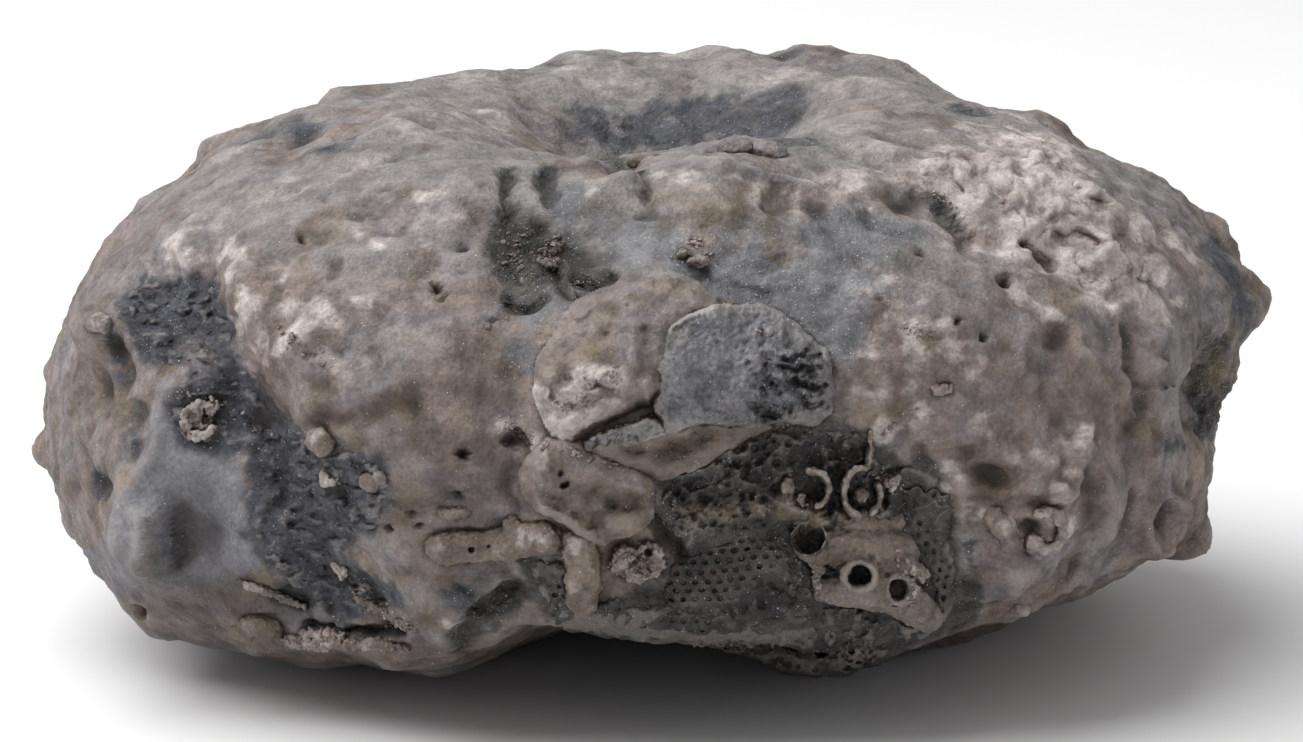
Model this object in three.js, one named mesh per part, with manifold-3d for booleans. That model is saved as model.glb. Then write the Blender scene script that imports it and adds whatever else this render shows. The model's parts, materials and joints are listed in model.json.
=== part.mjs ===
// A fossil crinoid: the squat, lobed cup of a sea lily turned to stone, with the pit of its stem in
// the upper face. Tube corals, a broken shell and small plates grew or settled on it and turned to
// stone with it, so the whole thing is one solid. Millimetres, +Z up, the front faces -Y.
import * as THREE from "three";
import { mergeVertices } from "three/addons/utils/BufferGeometryUtils.js";
import Module from "manifold-3d";

const wasm = await Module();
wasm.setup();

// Driving dimensions.
const HALF_WIDTH = 19.1; // of the smooth cup, before its lobes
const HALF_DEPTH = 17.4;
const HALF_HEIGHT = 9.1;
const UPPER_SHOULDER = 2.5; // 2 is an ellipse in profile, larger is squarer
const LOWER_SHOULDER = 3.2;
const MIDDLE = 8.9; // height of the widest level above the resting plane
const REST_PLANE = 0.18; // how far up the lowest lobes are worn flat
const ROWS = 17; // rows of triangles along each side of the icosahedron

const CUP = new THREE.Vector3(HALF_WIDTH, HALF_DEPTH, HALF_HEIGHT);
const radians = THREE.MathUtils.degToRad;

// A unit direction from its bearing, anticlockwise from the front as seen from above, and its rise.
function direction(bearing, rise) {
  const b = radians(bearing);
  const e = radians(rise);
  return new THREE.Vector3(Math.sin(b) * Math.cos(e), -Math.cos(b) * Math.cos(e), Math.sin(e));
}

// The smooth cup's surface in a direction, from its middle.
function smoothCup(d) {
  const shoulder = d.z > 0 ? UPPER_SHOULDER : LOWER_SHOULDER;
  const round = Math.hypot(d.x / HALF_WIDTH, d.y / HALF_DEPTH) ** shoulder;
  const tall = Math.abs(d.z / HALF_HEIGHT) ** shoulder;
  return d.clone().multiplyScalar((round + tall) ** (-1 / shoulder));
}

// Relief pushes the surface out from the middle, or in. Places are [bearing, rise] in degrees.
function ridge(from, to, spread, push) {
  const line = new THREE.Line3(smoothCup(direction(...from)), smoothCup(direction(...to)));
  return { line, spread, push };
}

function lump(bearing, rise, spread, push) {
  return ridge([bearing, rise], [bearing, rise], spread, push);
}

const RELIEF = [
  // The stem pit and the slope down to it.
  lump(0, 90, 4.6, -6),
  // The crest at the front: a hill right of the middle, a saddle left of it, a rough hollow below.
  lump(12, 43, 2.6, 0.7),
  lump(10, 32, 2.6, 0.4),
  lump(-14, 40, 2.4, -0.5),
  lump(-11, 25, 1.5, -0.9),
  lump(-26, 33, 3, 0.4),
  // The crest at the sides and back, left to right.
  lump(-95, 16, 5, -0.7),
  lump(-99, 28, 1.8, 0.6),
  lump(-112, 35, 2.6, 0.2),
  lump(-120, 22, 4, -0.6),
  lump(-146, 38, 2.4, 0.3),
  lump(-168, 40, 2, 0.9),
  lump(168, 40, 2.2, 0.5),
  lump(152, 38, 2.2, 1.4),
  lump(132, 35, 2.4, 0.8),
  lump(107, 32, 1.5, 0.4),
  // The left flank: knobs with hollows beside them.
  lump(-80, -6, 5, 0.3),
  lump(-84, -9, 1.1, 0.3),
  lump(-66, 8, 1.2, 0.8),
  lump(-65, 3, 1, -0.6),
  lump(-56, -3, 2.2, 0.5),
  lump(-54, -11, 1.3, 0.9),
  lump(-49, -9, 1.2, -0.8),
  lump(-68, -22, 4, 0.4),
  // A valley of shale, and the broad hill of crust beside it.
  ridge([-56, 14], [-44, 4], 1.9, -0.9),
  ridge([-42, 0], [-34, -12], 2.1, -0.8),
  ridge([-37, 13], [-27, 6], 3, 0.7),
  lump(-20, 4, 2.4, 0.5),
  lump(-45, 20, 2.6, 0.4),
  // Under the front: two feet with an arch between them.
  lump(-28, -25, 2.4, 0.6),
  lump(-38, -26, 2.4, -0.7),
  lump(-20, -13, 1.8, 0.5),
  ridge([-16, -9], [-13, -22], 1.2, -0.9),
  ridge([-40, -15], [-30, -16], 1.1, -0.5),
  lump(-8, -38, 4.6, -2.6),
  ridge([-17, -27], [13, -27], 2.6, -1.9),
  lump(5, -62, 5, -1.6),
  lump(18, -34, 2.2, 0.1),
  lump(40, -28, 3.4, -1.4),
  lump(52, -24, 3, -1.2),
  // The middle: a rounded plate, and a recess below it where the small corals grow.
  lump(-4, 13, 3, 0.9),
  lump(-5, 0, 1.8, 0.7),
  ridge([2, -7], [22, -7], 2.6, -0.9),
  lump(26, -1, 1.4, -0.3),
  // The right face: soft lobes, upright wrinkles and two slots.
  lump(25, 13, 2.8, 0.4),
  lump(36, 9, 2.8, 0.5),
  lump(39, -6, 2, 0.7),
  ridge([47, 14], [47, -4], 1, 0.35),
  ridge([55, 16], [55, -2], 1, 0.35),
  ridge([38, 28], [42, 23], 1.1, -0.7),
  lump(48, 19, 1.1, -0.5),
  lump(52, 29, 2, 0.5),
  lump(62, 25, 2.2, 0.6),
  lump(94, 19, 2.4, 0.15),
  // The right flank: a beak above, a hollow under it and a square corner below.
  lump(59, -10, 2, 0.6),
  lump(70, -24, 4, -1.4),
  lump(67, 1, 1.7, -1),
  lump(84, -12, 3.4, -1.2),
  lump(80, -14, 1.7, 1.2),
  lump(78, -26, 2.6, -0.7),
  lump(86, -3, 2.4, -1.2),
  lump(87, 7, 1.7, 1.2),
  // The back: lobes between shallow furrows.
  lump(118, 4, 3.4, 0.8),
  ridge([132, 20], [128, -14], 1.4, -0.9),
  lump(146, 8, 3.6, 0.9),
  lump(150, -16, 2.6, 0.7),
  ridge([164, 22], [168, -10], 1.3, -0.9),
  lump(-174, 2, 3.4, 0.7),
  ridge([-158, 18], [-154, -16], 1.5, -1),
  lump(-140, 10, 3.6, 0.9),
  lump(-142, -14, 2.6, 0.6),
  ridge([-122, 12], [-118, -16], 1.3, -0.8),
  lump(-104, 0, 3, 0.7),
  // The underside: a broad hollow, with feet at the back.
  lump(120, -66, 4, -1.4),
  lump(-100, -62, 4, -1.2),
  lump(-55, -50, 3, 0.5),
  lump(38, -52, 3, 0.7),
  lump(150, -40, 3, 0.2),
  lump(-150, -40, 3, 0.2),
  lump(180, -42, 2.4, -0.8),
];

function stoneSurface(d) {
  const base = smoothCup(d);
  const near = new THREE.Vector3();
  let push = 0;
  for (const part of RELIEF) {
    const gap = part.line.closestPointToPoint(base, true, near).distanceTo(base);
    push += part.push * Math.exp(-((gap / part.spread) ** 2));
  }
  return base.setLength(base.length() + push);
}

function solid(geometry) {
  const bare = geometry.clone();
  bare.deleteAttribute("normal");
  bare.deleteAttribute("uv");
  const merged = mergeVertices(bare, 1e-4);
  return new wasm.Manifold(
    new wasm.Mesh({
      numProp: 3,
      vertProperties: merged.attributes.position.array,
      triVerts: new Uint32Array(merged.index.array),
    }),
  );
}

function body() {
  const ball = new THREE.IcosahedronGeometry(1, ROWS);
  const place = ball.attributes.position;
  const d = new THREE.Vector3();
  for (let i = 0; i < place.count; i++) {
    d.fromBufferAttribute(place, i).multiply(CUP).normalize();
    const p = stoneSurface(d);
    place.setXYZ(i, p.x, p.y, p.z + MIDDLE);
  }
  return solid(ball);
}

// Sets a shape built about the origin, facing +Z, on the stone at a place: its +Z leans out along
// the place's own direction, its +Y stays as upright as it can, and it stands proud by the height.
function seated(geometry, bearing, rise, proud, turn = 0) {
  const out = direction(bearing, rise);
  const across = new THREE.Vector3(0, 0, 1).cross(out).normalize();
  const up = out.clone().cross(across);
  const at = stoneSurface(out).addScaledVector(out, proud);
  const frame = new THREE.Matrix4().makeBasis(across, up, out);
  const made = geometry.clone().applyMatrix4(new THREE.Matrix4().makeRotationZ(radians(turn)));
  return solid(made.applyMatrix4(frame).translate(at.x, at.y, at.z + MIDDLE));
}

function slab(outline, thickness, bevel) {
  const shape = new THREE.Shape(outline.map(([x, y]) => new THREE.Vector2(x, y)));
  const options = {
    depth: thickness,
    bevelThickness: bevel,
    bevelSize: bevel,
    bevelOffset: -bevel,
    bevelSegments: 1,
  };
  return new THREE.ExtrudeGeometry(shape, options).translate(0, 0, -thickness);
}

function pebble(wide, tall, deep) {
  return new THREE.IcosahedronGeometry(0.5, 2).scale(wide, tall, deep);
}

// A round peg facing +Z, as wide as its top at z = 0 and a little narrower or wider at its foot.
function peg(top, foot, length) {
  const profile = [[0, -length], [foot, -length], [top, 0], [0, 0]];
  const points = profile.map(([r, z]) => new THREE.Vector2(r, z));
  return new THREE.LatheGeometry(points, 10).rotateX(Math.PI / 2);
}

// A piece of broken shell, its thin edge standing out at the left below it, and the lip under both.
const SHELL = [
  [-2.8, 0], [-2.7, 1.2], [-1.4, 2], [-0.4, 2.2], [0.7, 2.1], [1.8, 1.5],
  [2.7, 0.7], [2.8, -0.5], [2.7, -1.6], [1.5, -1.8], [-1.2, -1.7], [-2.5, -1.9],
];
const SHELL_EDGE = [[-1.4, -0.4], [-1.1, -0.6], [0.2, -0.3], [1.5, 0], [1.3, 0.7], [0, 0.3]];
const LIP = [[-2.7, 0.3], [-1.4, -0.3], [0, -0.6], [1, -0.4], [2.8, 0.6], [0, 0.7]];

const GROWTHS = [
  seated(slab(SHELL, 2.4, 0.4), 9, 11, 0.7),
  seated(slab(SHELL_EDGE, 1.6, 0.1), -2.5, 5.5, 1.1),
  seated(slab(LIP, 1.8, 0.3), 2, 4, 0.7),
  // A lobed plate, and the fingers and the knob below it.
  seated(pebble(5, 3.3, 2.2), -4.5, 1, 0),
  seated(pebble(4.2, 1.5, 1.8), -14, -5.5, 0.3, 6),
  seated(pebble(1.1, 2.4, 1.6), -5.5, -9, 0.2),
  seated(pebble(1.9, 1.7, 1.8), 0, -8, 0.1),
  // The mounds the coral tubes rise from.
  seated(pebble(3.2, 1.3, 1.6), 20, -7, 0),
  seated(pebble(3.4, 2, 1.8), 23, -13, 0),
  // A bead and a small ring plate on the shale, and a knob left of them.
  seated(pebble(1, 1, 1.6), -33, 3, 0),
  seated(pebble(1.4, 1.3, 1.4), -50, 3, -0.1),
  seated(pebble(1.2, 1.6, 2.4), -53, -9, 0.1),
];

// The coral tubes: [bearing, rise, outer radius, bore radius, how far the mouth stands out].
const TUBES = [
  [16, -7, 0.66, 0.42, 0.6],
  [21, -11, 0.6, 0.36, 0.9],
  [25, -12.5, 0.55, 0.32, 0.8],
  [16, -1, 0.55, 0.36, 0.3],
  [21, -1, 0.6, 0.38, 0.5],
];
const WALLS = TUBES.map(([b, e, wide, , out]) => seated(peg(wide, wide * 1.1, 1.9), b, e, out));
const BORES = TUBES.map(([b, e, , bore, out]) => seated(peg(bore, bore * 0.8, 1.3), b, e, out + 0.1));

function geometryOf(made) {
  const mesh = made.getMesh();
  const geometry = new THREE.BufferGeometry();
  geometry.setAttribute("position", new THREE.BufferAttribute(mesh.vertProperties, 3));
  geometry.setIndex(new THREE.BufferAttribute(mesh.triVerts, 1));
  geometry.computeVertexNormals();
  return geometry;
}

// The lowest points are worn to small flats, which is what the stone rests on.
const ground = solid(new THREE.BoxGeometry(80, 80, 20).translate(0, 0, REST_PLANE - 10));
const cut = wasm.Manifold.union([ground, ...BORES]);
const whole = wasm.Manifold.union([body(), ...GROWTHS, ...WALLS]).subtract(cut);
const box = whole.boundingBox();
const centred = whole.translate(
  -(box.min[0] + box.max[0]) / 2,
  -(box.min[1] + box.max[1]) / 2,
  -box.min[2],
);

const stone = new THREE.MeshStandardMaterial({ color: 0x7d746e, roughness: 0.75, metalness: 0 });
const fossil = new THREE.Mesh(geometryOf(centred), stone);
fossil.name = "crinoid_fossil";

const part = new THREE.Group();
part.add(fossil);
export default part;
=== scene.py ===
# %% [markdown]
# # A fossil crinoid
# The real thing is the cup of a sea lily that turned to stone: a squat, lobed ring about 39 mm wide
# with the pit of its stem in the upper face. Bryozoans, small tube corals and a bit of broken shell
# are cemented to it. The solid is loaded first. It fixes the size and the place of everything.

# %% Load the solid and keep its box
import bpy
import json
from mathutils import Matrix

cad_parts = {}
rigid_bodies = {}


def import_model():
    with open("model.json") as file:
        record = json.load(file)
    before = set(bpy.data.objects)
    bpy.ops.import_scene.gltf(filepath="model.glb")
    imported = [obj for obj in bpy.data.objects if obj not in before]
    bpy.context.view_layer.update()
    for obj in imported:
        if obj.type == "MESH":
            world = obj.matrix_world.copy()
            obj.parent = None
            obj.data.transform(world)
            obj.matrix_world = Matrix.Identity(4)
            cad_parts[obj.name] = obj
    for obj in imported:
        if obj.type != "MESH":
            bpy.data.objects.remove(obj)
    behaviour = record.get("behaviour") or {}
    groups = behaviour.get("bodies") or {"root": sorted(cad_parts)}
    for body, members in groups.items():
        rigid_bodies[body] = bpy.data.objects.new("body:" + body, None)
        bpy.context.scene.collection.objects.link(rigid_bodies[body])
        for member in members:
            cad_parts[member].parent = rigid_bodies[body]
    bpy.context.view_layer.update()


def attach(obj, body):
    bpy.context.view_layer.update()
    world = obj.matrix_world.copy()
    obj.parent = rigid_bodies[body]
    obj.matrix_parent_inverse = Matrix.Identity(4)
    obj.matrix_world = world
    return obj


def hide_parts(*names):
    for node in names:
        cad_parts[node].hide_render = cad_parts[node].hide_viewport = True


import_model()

import json
import math
import bpy
import numpy as np
from mathutils import Matrix, Vector, noise
from mathutils.bvhtree import BVHTree

MM = 0.001

# %% [markdown]
# ## The camera
# A long lens keeps the proportions of a small stone true. The camera stands at the front, 12 degrees
# above the stone's middle.

# %% Camera
def look_at(obj, place, target):
    obj.location = place
    obj.rotation_euler = (target - place).to_track_quat("-Z", "Y").to_euler()


CAMERA_TARGET = Vector((-0.2, 0.5, 8.45)) * MM
CAMERA_RISE = math.radians(12)
CAMERA_DISTANCE = 165 * MM
CAMERA_LENS = 142.5
NEAREST_SEEN = 10 * MM
TOWARDS_CAMERA = Vector((0, -math.cos(CAMERA_RISE), math.sin(CAMERA_RISE)))

camera = bpy.data.objects.new("camera", bpy.data.cameras.new("camera"))
bpy.context.scene.collection.objects.link(camera)
camera.data.lens = CAMERA_LENS
camera.data.clip_start = NEAREST_SEEN
look_at(camera, CAMERA_TARGET + TOWARDS_CAMERA * CAMERA_DISTANCE, CAMERA_TARGET)
bpy.context.scene.camera = camera
print("camera at, mm:", [round(v / MM) for v in camera.location])

# %% [markdown]
# ## The form of the cup
# The cup is nearly round in plan and squarer than an ellipse in profile, so a superellipsoid is its
# smooth start. Every lobe, furrow and foot is then a soft push outwards or inwards, centred on a
# place given as a bearing from the front and a rise above the middle, both in degrees. That list
# reads like a sculptor's notes, and the shape can be made as fine as needed, because it is a formula.

# %% The smooth cup
CUP_HALF = np.array([19.1, 17.4, 9.1])
CUP_MIDDLE = np.array([-0.21, 0.59, 8.72])
UPPER_SHOULDER = 2.5
LOWER_SHOULDER = 3.2


def direction(bearing, rise):
    b, e = np.radians(bearing), np.radians(rise)
    return np.stack([np.sin(b) * np.cos(e), -np.cos(b) * np.cos(e), np.sin(e) + 0 * b], axis=-1)


def smooth_cup(d):
    shoulder = np.where(d[..., 2] > 0, UPPER_SHOULDER, LOWER_SHOULDER)
    level = np.hypot(d[..., 0] / CUP_HALF[0], d[..., 1] / CUP_HALF[1]) ** shoulder
    upright = np.abs(d[..., 2] / CUP_HALF[2]) ** shoulder
    return d * ((level + upright) ** (-1 / shoulder))[..., None]


def pushes(base, parts):
    """How far each point of the smooth cup is pushed out by rows of one place or two, in mm."""
    total = np.zeros(len(base))
    for *ends, spread, push in parts:
        a, b = smooth_cup(direction(*ends[:2])), smooth_cup(direction(*ends[-2:]))
        along = b - a
        length = max(along @ along, 1e-9)
        t = np.clip((base - a) @ along / length, 0, 1)
        gap2 = ((base - a - t[:, None] * along) ** 2).sum(axis=1)
        total += push * np.exp(-gap2 / spread ** 2)
    return total


# %% [markdown]
# The large relief: the stem pit, the crest round it, the feet, and the lobes of each side. These are
# the same pushes that shaped the solid. A row of four numbers is a round push, given by its
# bearing, rise, spread and push; a row of six runs from one bearing and rise to another.

# %% Large relief
LARGE_RELIEF = [
    # The stem pit and the slope down to it.
    (0, 90, 4.6, -6),
    # The crest at the front: a hill right of the middle, a saddle left of it, a rough hollow below.
    (12, 43, 2.6, 0.7), (10, 32, 2.6, 0.4), (-14, 40, 2.4, -0.5), (-11, 25, 1.5, -0.9),
    (-26, 33, 3, 0.4),
    # The crest at the sides and back, left to right.
    (-95, 16, 5, -0.7), (-99, 28, 1.8, 0.6), (-112, 35, 2.6, 0.2), (-120, 22, 4, -0.6),
    (-146, 38, 2.4, 0.3), (-168, 40, 2, 0.9), (168, 40, 2.2, 0.5), (152, 38, 2.2, 1.4),
    (132, 35, 2.4, 0.8), (107, 32, 1.5, 0.4),
    # The left flank: knobs with hollows beside them.
    (-80, -6, 5, 0.3), (-84, -9, 1.1, 0.3), (-66, 8, 1.2, 0.8), (-65, 3, 1, -0.6), (-56, -3, 2.2, 0.5),
    (-54, -11, 1.3, 0.9), (-49, -9, 1.2, -0.8), (-68, -22, 4, 0.4),
    # A valley of shale, and the broad hill of crust beside it.
    (-56, 14, -44, 4, 1.9, -0.9), (-42, 0, -34, -12, 2.1, -0.8), (-37, 13, -27, 6, 3, 0.7),
    (-20, 4, 2.4, 0.5), (-45, 20, 2.6, 0.4),
    # Under the front: two feet with an arch between them.
    (-28, -25, 2.4, 0.6), (-38, -26, 2.4, -0.7), (-20, -13, 1.8, 0.5), (-16, -9, -13, -22, 1.2, -0.9),
    (-40, -15, -30, -16, 1.1, -0.5), (-8, -38, 4.6, -2.6), (-17, -27, 13, -27, 2.6, -1.9),
    (5, -62, 5, -1.6), (18, -34, 2.2, 0.1), (40, -28, 3.4, -1.4), (52, -24, 3, -1.2),
    # The middle: a rounded plate, and a recess below it where the small corals grow.
    (-4, 13, 3, 0.9), (-5, 0, 1.8, 0.7), (2, -7, 22, -7, 2.6, -0.9), (26, -1, 1.4, -0.3),
    # The right face: soft lobes, upright wrinkles and two slots.
    (25, 13, 2.8, 0.4), (36, 9, 2.8, 0.5), (39, -6, 2, 0.7), (47, 14, 47, -4, 1, 0.35),
    (55, 16, 55, -2, 1, 0.35), (38, 28, 42, 23, 1.1, -0.7), (48, 19, 1.1, -0.5), (52, 29, 2, 0.5),
    (62, 25, 2.2, 0.6), (94, 19, 2.4, 0.15),
    # The right flank: a beak above, a hollow under it and a square corner below.
    (59, -10, 2, 0.6), (70, -24, 4, -1.4), (67, 1, 1.7, -1), (84, -12, 3.4, -1.2), (80, -14, 1.7, 1.2),
    (78, -26, 2.6, -0.7), (86, -3, 2.4, -1.2), (87, 7, 1.7, 1.2),
    # The back: lobes between shallow furrows.
    (118, 4, 3.4, 0.8), (132, 20, 128, -14, 1.4, -0.9), (146, 8, 3.6, 0.9), (150, -16, 2.6, 0.7),
    (164, 22, 168, -10, 1.3, -0.9), (-174, 2, 3.4, 0.7), (-158, 18, -154, -16, 1.5, -1),
    (-140, 10, 3.6, 0.9), (-142, -14, 2.6, 0.6), (-122, 12, -118, -16, 1.3, -0.8), (-104, 0, 3, 0.7),
    # The underside: a broad hollow, with feet at the back.
    (120, -66, 4, -1.4), (-100, -62, 4, -1.2), (-55, -50, 3, 0.5), (38, -52, 3, 0.7),
    (150, -40, 3, 0.2), (-150, -40, 3, 0.2), (180, -42, 2.4, -0.8)]
print("large relief:", len(LARGE_RELIEF), "pushes")

# %% [markdown]
# The lobes of the outline are finer than the tested solid holds, so a few more pushes trim them.

# %% Relief of the outline
OUTLINE_RELIEF = [
    # The ends, the feet and the line of the crest.
    (-86, -1, 1.2, 0.35), (-84.5, -11, 0.9, -0.5), (-66, -22, 1.6, 0.5), (-48, -37, 1.4, -0.3),
    (-35, -34, 1.4, 0.25), (-6, -20, 1.4, -0.25), (18, -40, 1.6, -0.45), (79, -17, 0.9, 0.8),
    (98, -8, 1.4, -0.5), (87, 2.5, 0.8, -0.9), (88.5, 7.5, 0.7, -0.2), (94, 10, 0.8, 0.3),
    (76, -7, 1.1, -0.35), (88, 4.5, 0.6, -0.55), (96, 13.5, 0.9, 0.5), (79, 0, 0.8, 0.2),
    (66, -19, 1.4, -0.25), (73, -44, 1.4, -0.25), (22, -45, 2.2, -0.25), (-28, -40, 1.4, -0.25),
    (-44, -34, 1.2, -0.3), (-86, -8, 0.8, 0.4), (-83, -13, 0.8, 0.2), (91, 27, 1, -0.25),
    (107, 31, 1.2, -0.25), (155, 39, 1, -0.25), (-176, 40, 1.2, -0.2), (-116, 36, 1, 0.25),
    (88, 11, 1.1, -0.4), (97, 26, 1.3, -0.5), (104, 29, 1.1, 0.4), (111, 35, 1.5, -0.3),
    (-155, 38, 1.8, -0.4), (-113, 37, 1, 0.25), (-100, 25, 0.9, 0.5), (-100, 19.5, 1, -0.35),
    # The top: the deep end of the pit, two dents on the left, and soft pale bumps.
    (95, 68, -90, 86, 2, -2.4), (60, 72, 2.2, -1.2), (10, 64, 2.4, -0.9), (-40, 66, 1.8, -0.5),
    # The near rim of the pit, which dips on the left and carries the crest on the right.
    (-40, 52, 2, -0.55), (-14, 53, 1.6, -0.75), (8, 46, 1.6, -0.35), (16, 42, 1.4, -0.3),
    # A deep fold near the right end.
    (72, 2, 1.3, -0.8),
    # Small dents and ridges round the upper rim.
    (-76, 34, 0.8, -0.4), (-65, 37, 0.7, -0.35), (-81, 28, 1, 0.25), (-55, 41, 1.2, 0.25),
    (-162, 50, 1.2, 0.25), (147, 52, 98, 47, 1, 0.35), (59, 51, 42, 39, 0.9, 0.3),
    (-140, 55, 1.2, -0.25), (125, 62, 1, -0.25), (-110, 55, 1.5, 0.2),
    # Last trims of the feet, the right end and the crest.
    (-35, -43, 2, -0.8), (57, -37, 2, -0.8), (63, -14, 1.8, -0.6), (81, -13, 1.6, -0.5),
    (103, 22, 2.2, -0.7), (123, 31, 2, -0.7), (159, 40, 1.8, -0.5), (-104, 30, 2, -0.5),
    (-89, 22, 1.8, -0.5), (-87, 10, 1.8, -0.5)]
print("outline:", len(OUTLINE_RELIEF), "pushes")

# %% [markdown]
# ## Small relief of the front
# The front carries most of the story, so its folds, hollows and slots are drawn one by one. They are
# placed on a drawing of the front: the first number runs across, the second up, both in mm, as the
# camera looks at the stone. A mark is a line or a dot with a spread and a push along the surface.

# %% The drawing of the front
ACROSS = np.array([1, 0, 0])
UP = np.array([0, math.sin(CAMERA_RISE), math.cos(CAMERA_RISE)])
OUT = np.array(TOWARDS_CAMERA)


def drawn(points):
    """Where points in space fall on the drawing of the front."""
    return points @ np.stack([ACROSS, UP], axis=1)


def mark(path, spread, push):
    return (np.array(path if isinstance(path[0], tuple) else [path], float), spread, push)


def gap_to(at, u, w):
    """Distance on the drawing from each point to one place."""
    return np.hypot(at[:, 0] - u, at[:, 1] - w)


def gap_to_path(at, path):
    """Distance on the drawing from each point to a line through the path's corners."""
    nearest = np.full(len(at), np.inf)
    for a, b in zip(path, path[1:] if len(path) > 1 else path):
        along = b - a
        t = np.clip((at - a) @ along / max(along @ along, 1e-9), 0, 1)
        nearest = np.minimum(nearest, np.linalg.norm(at - a - t[:, None] * along, axis=1))
    return nearest


def pressed(at, marks):
    """The sum of all marks at each place on the drawing, in mm."""
    return sum(push * np.exp(-(gap_to_path(at, path) / spread) ** 2) for path, spread, push in marks)


# %% [markdown]
# The marks of the front follow, hill by hill and from the left to the right.

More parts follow.
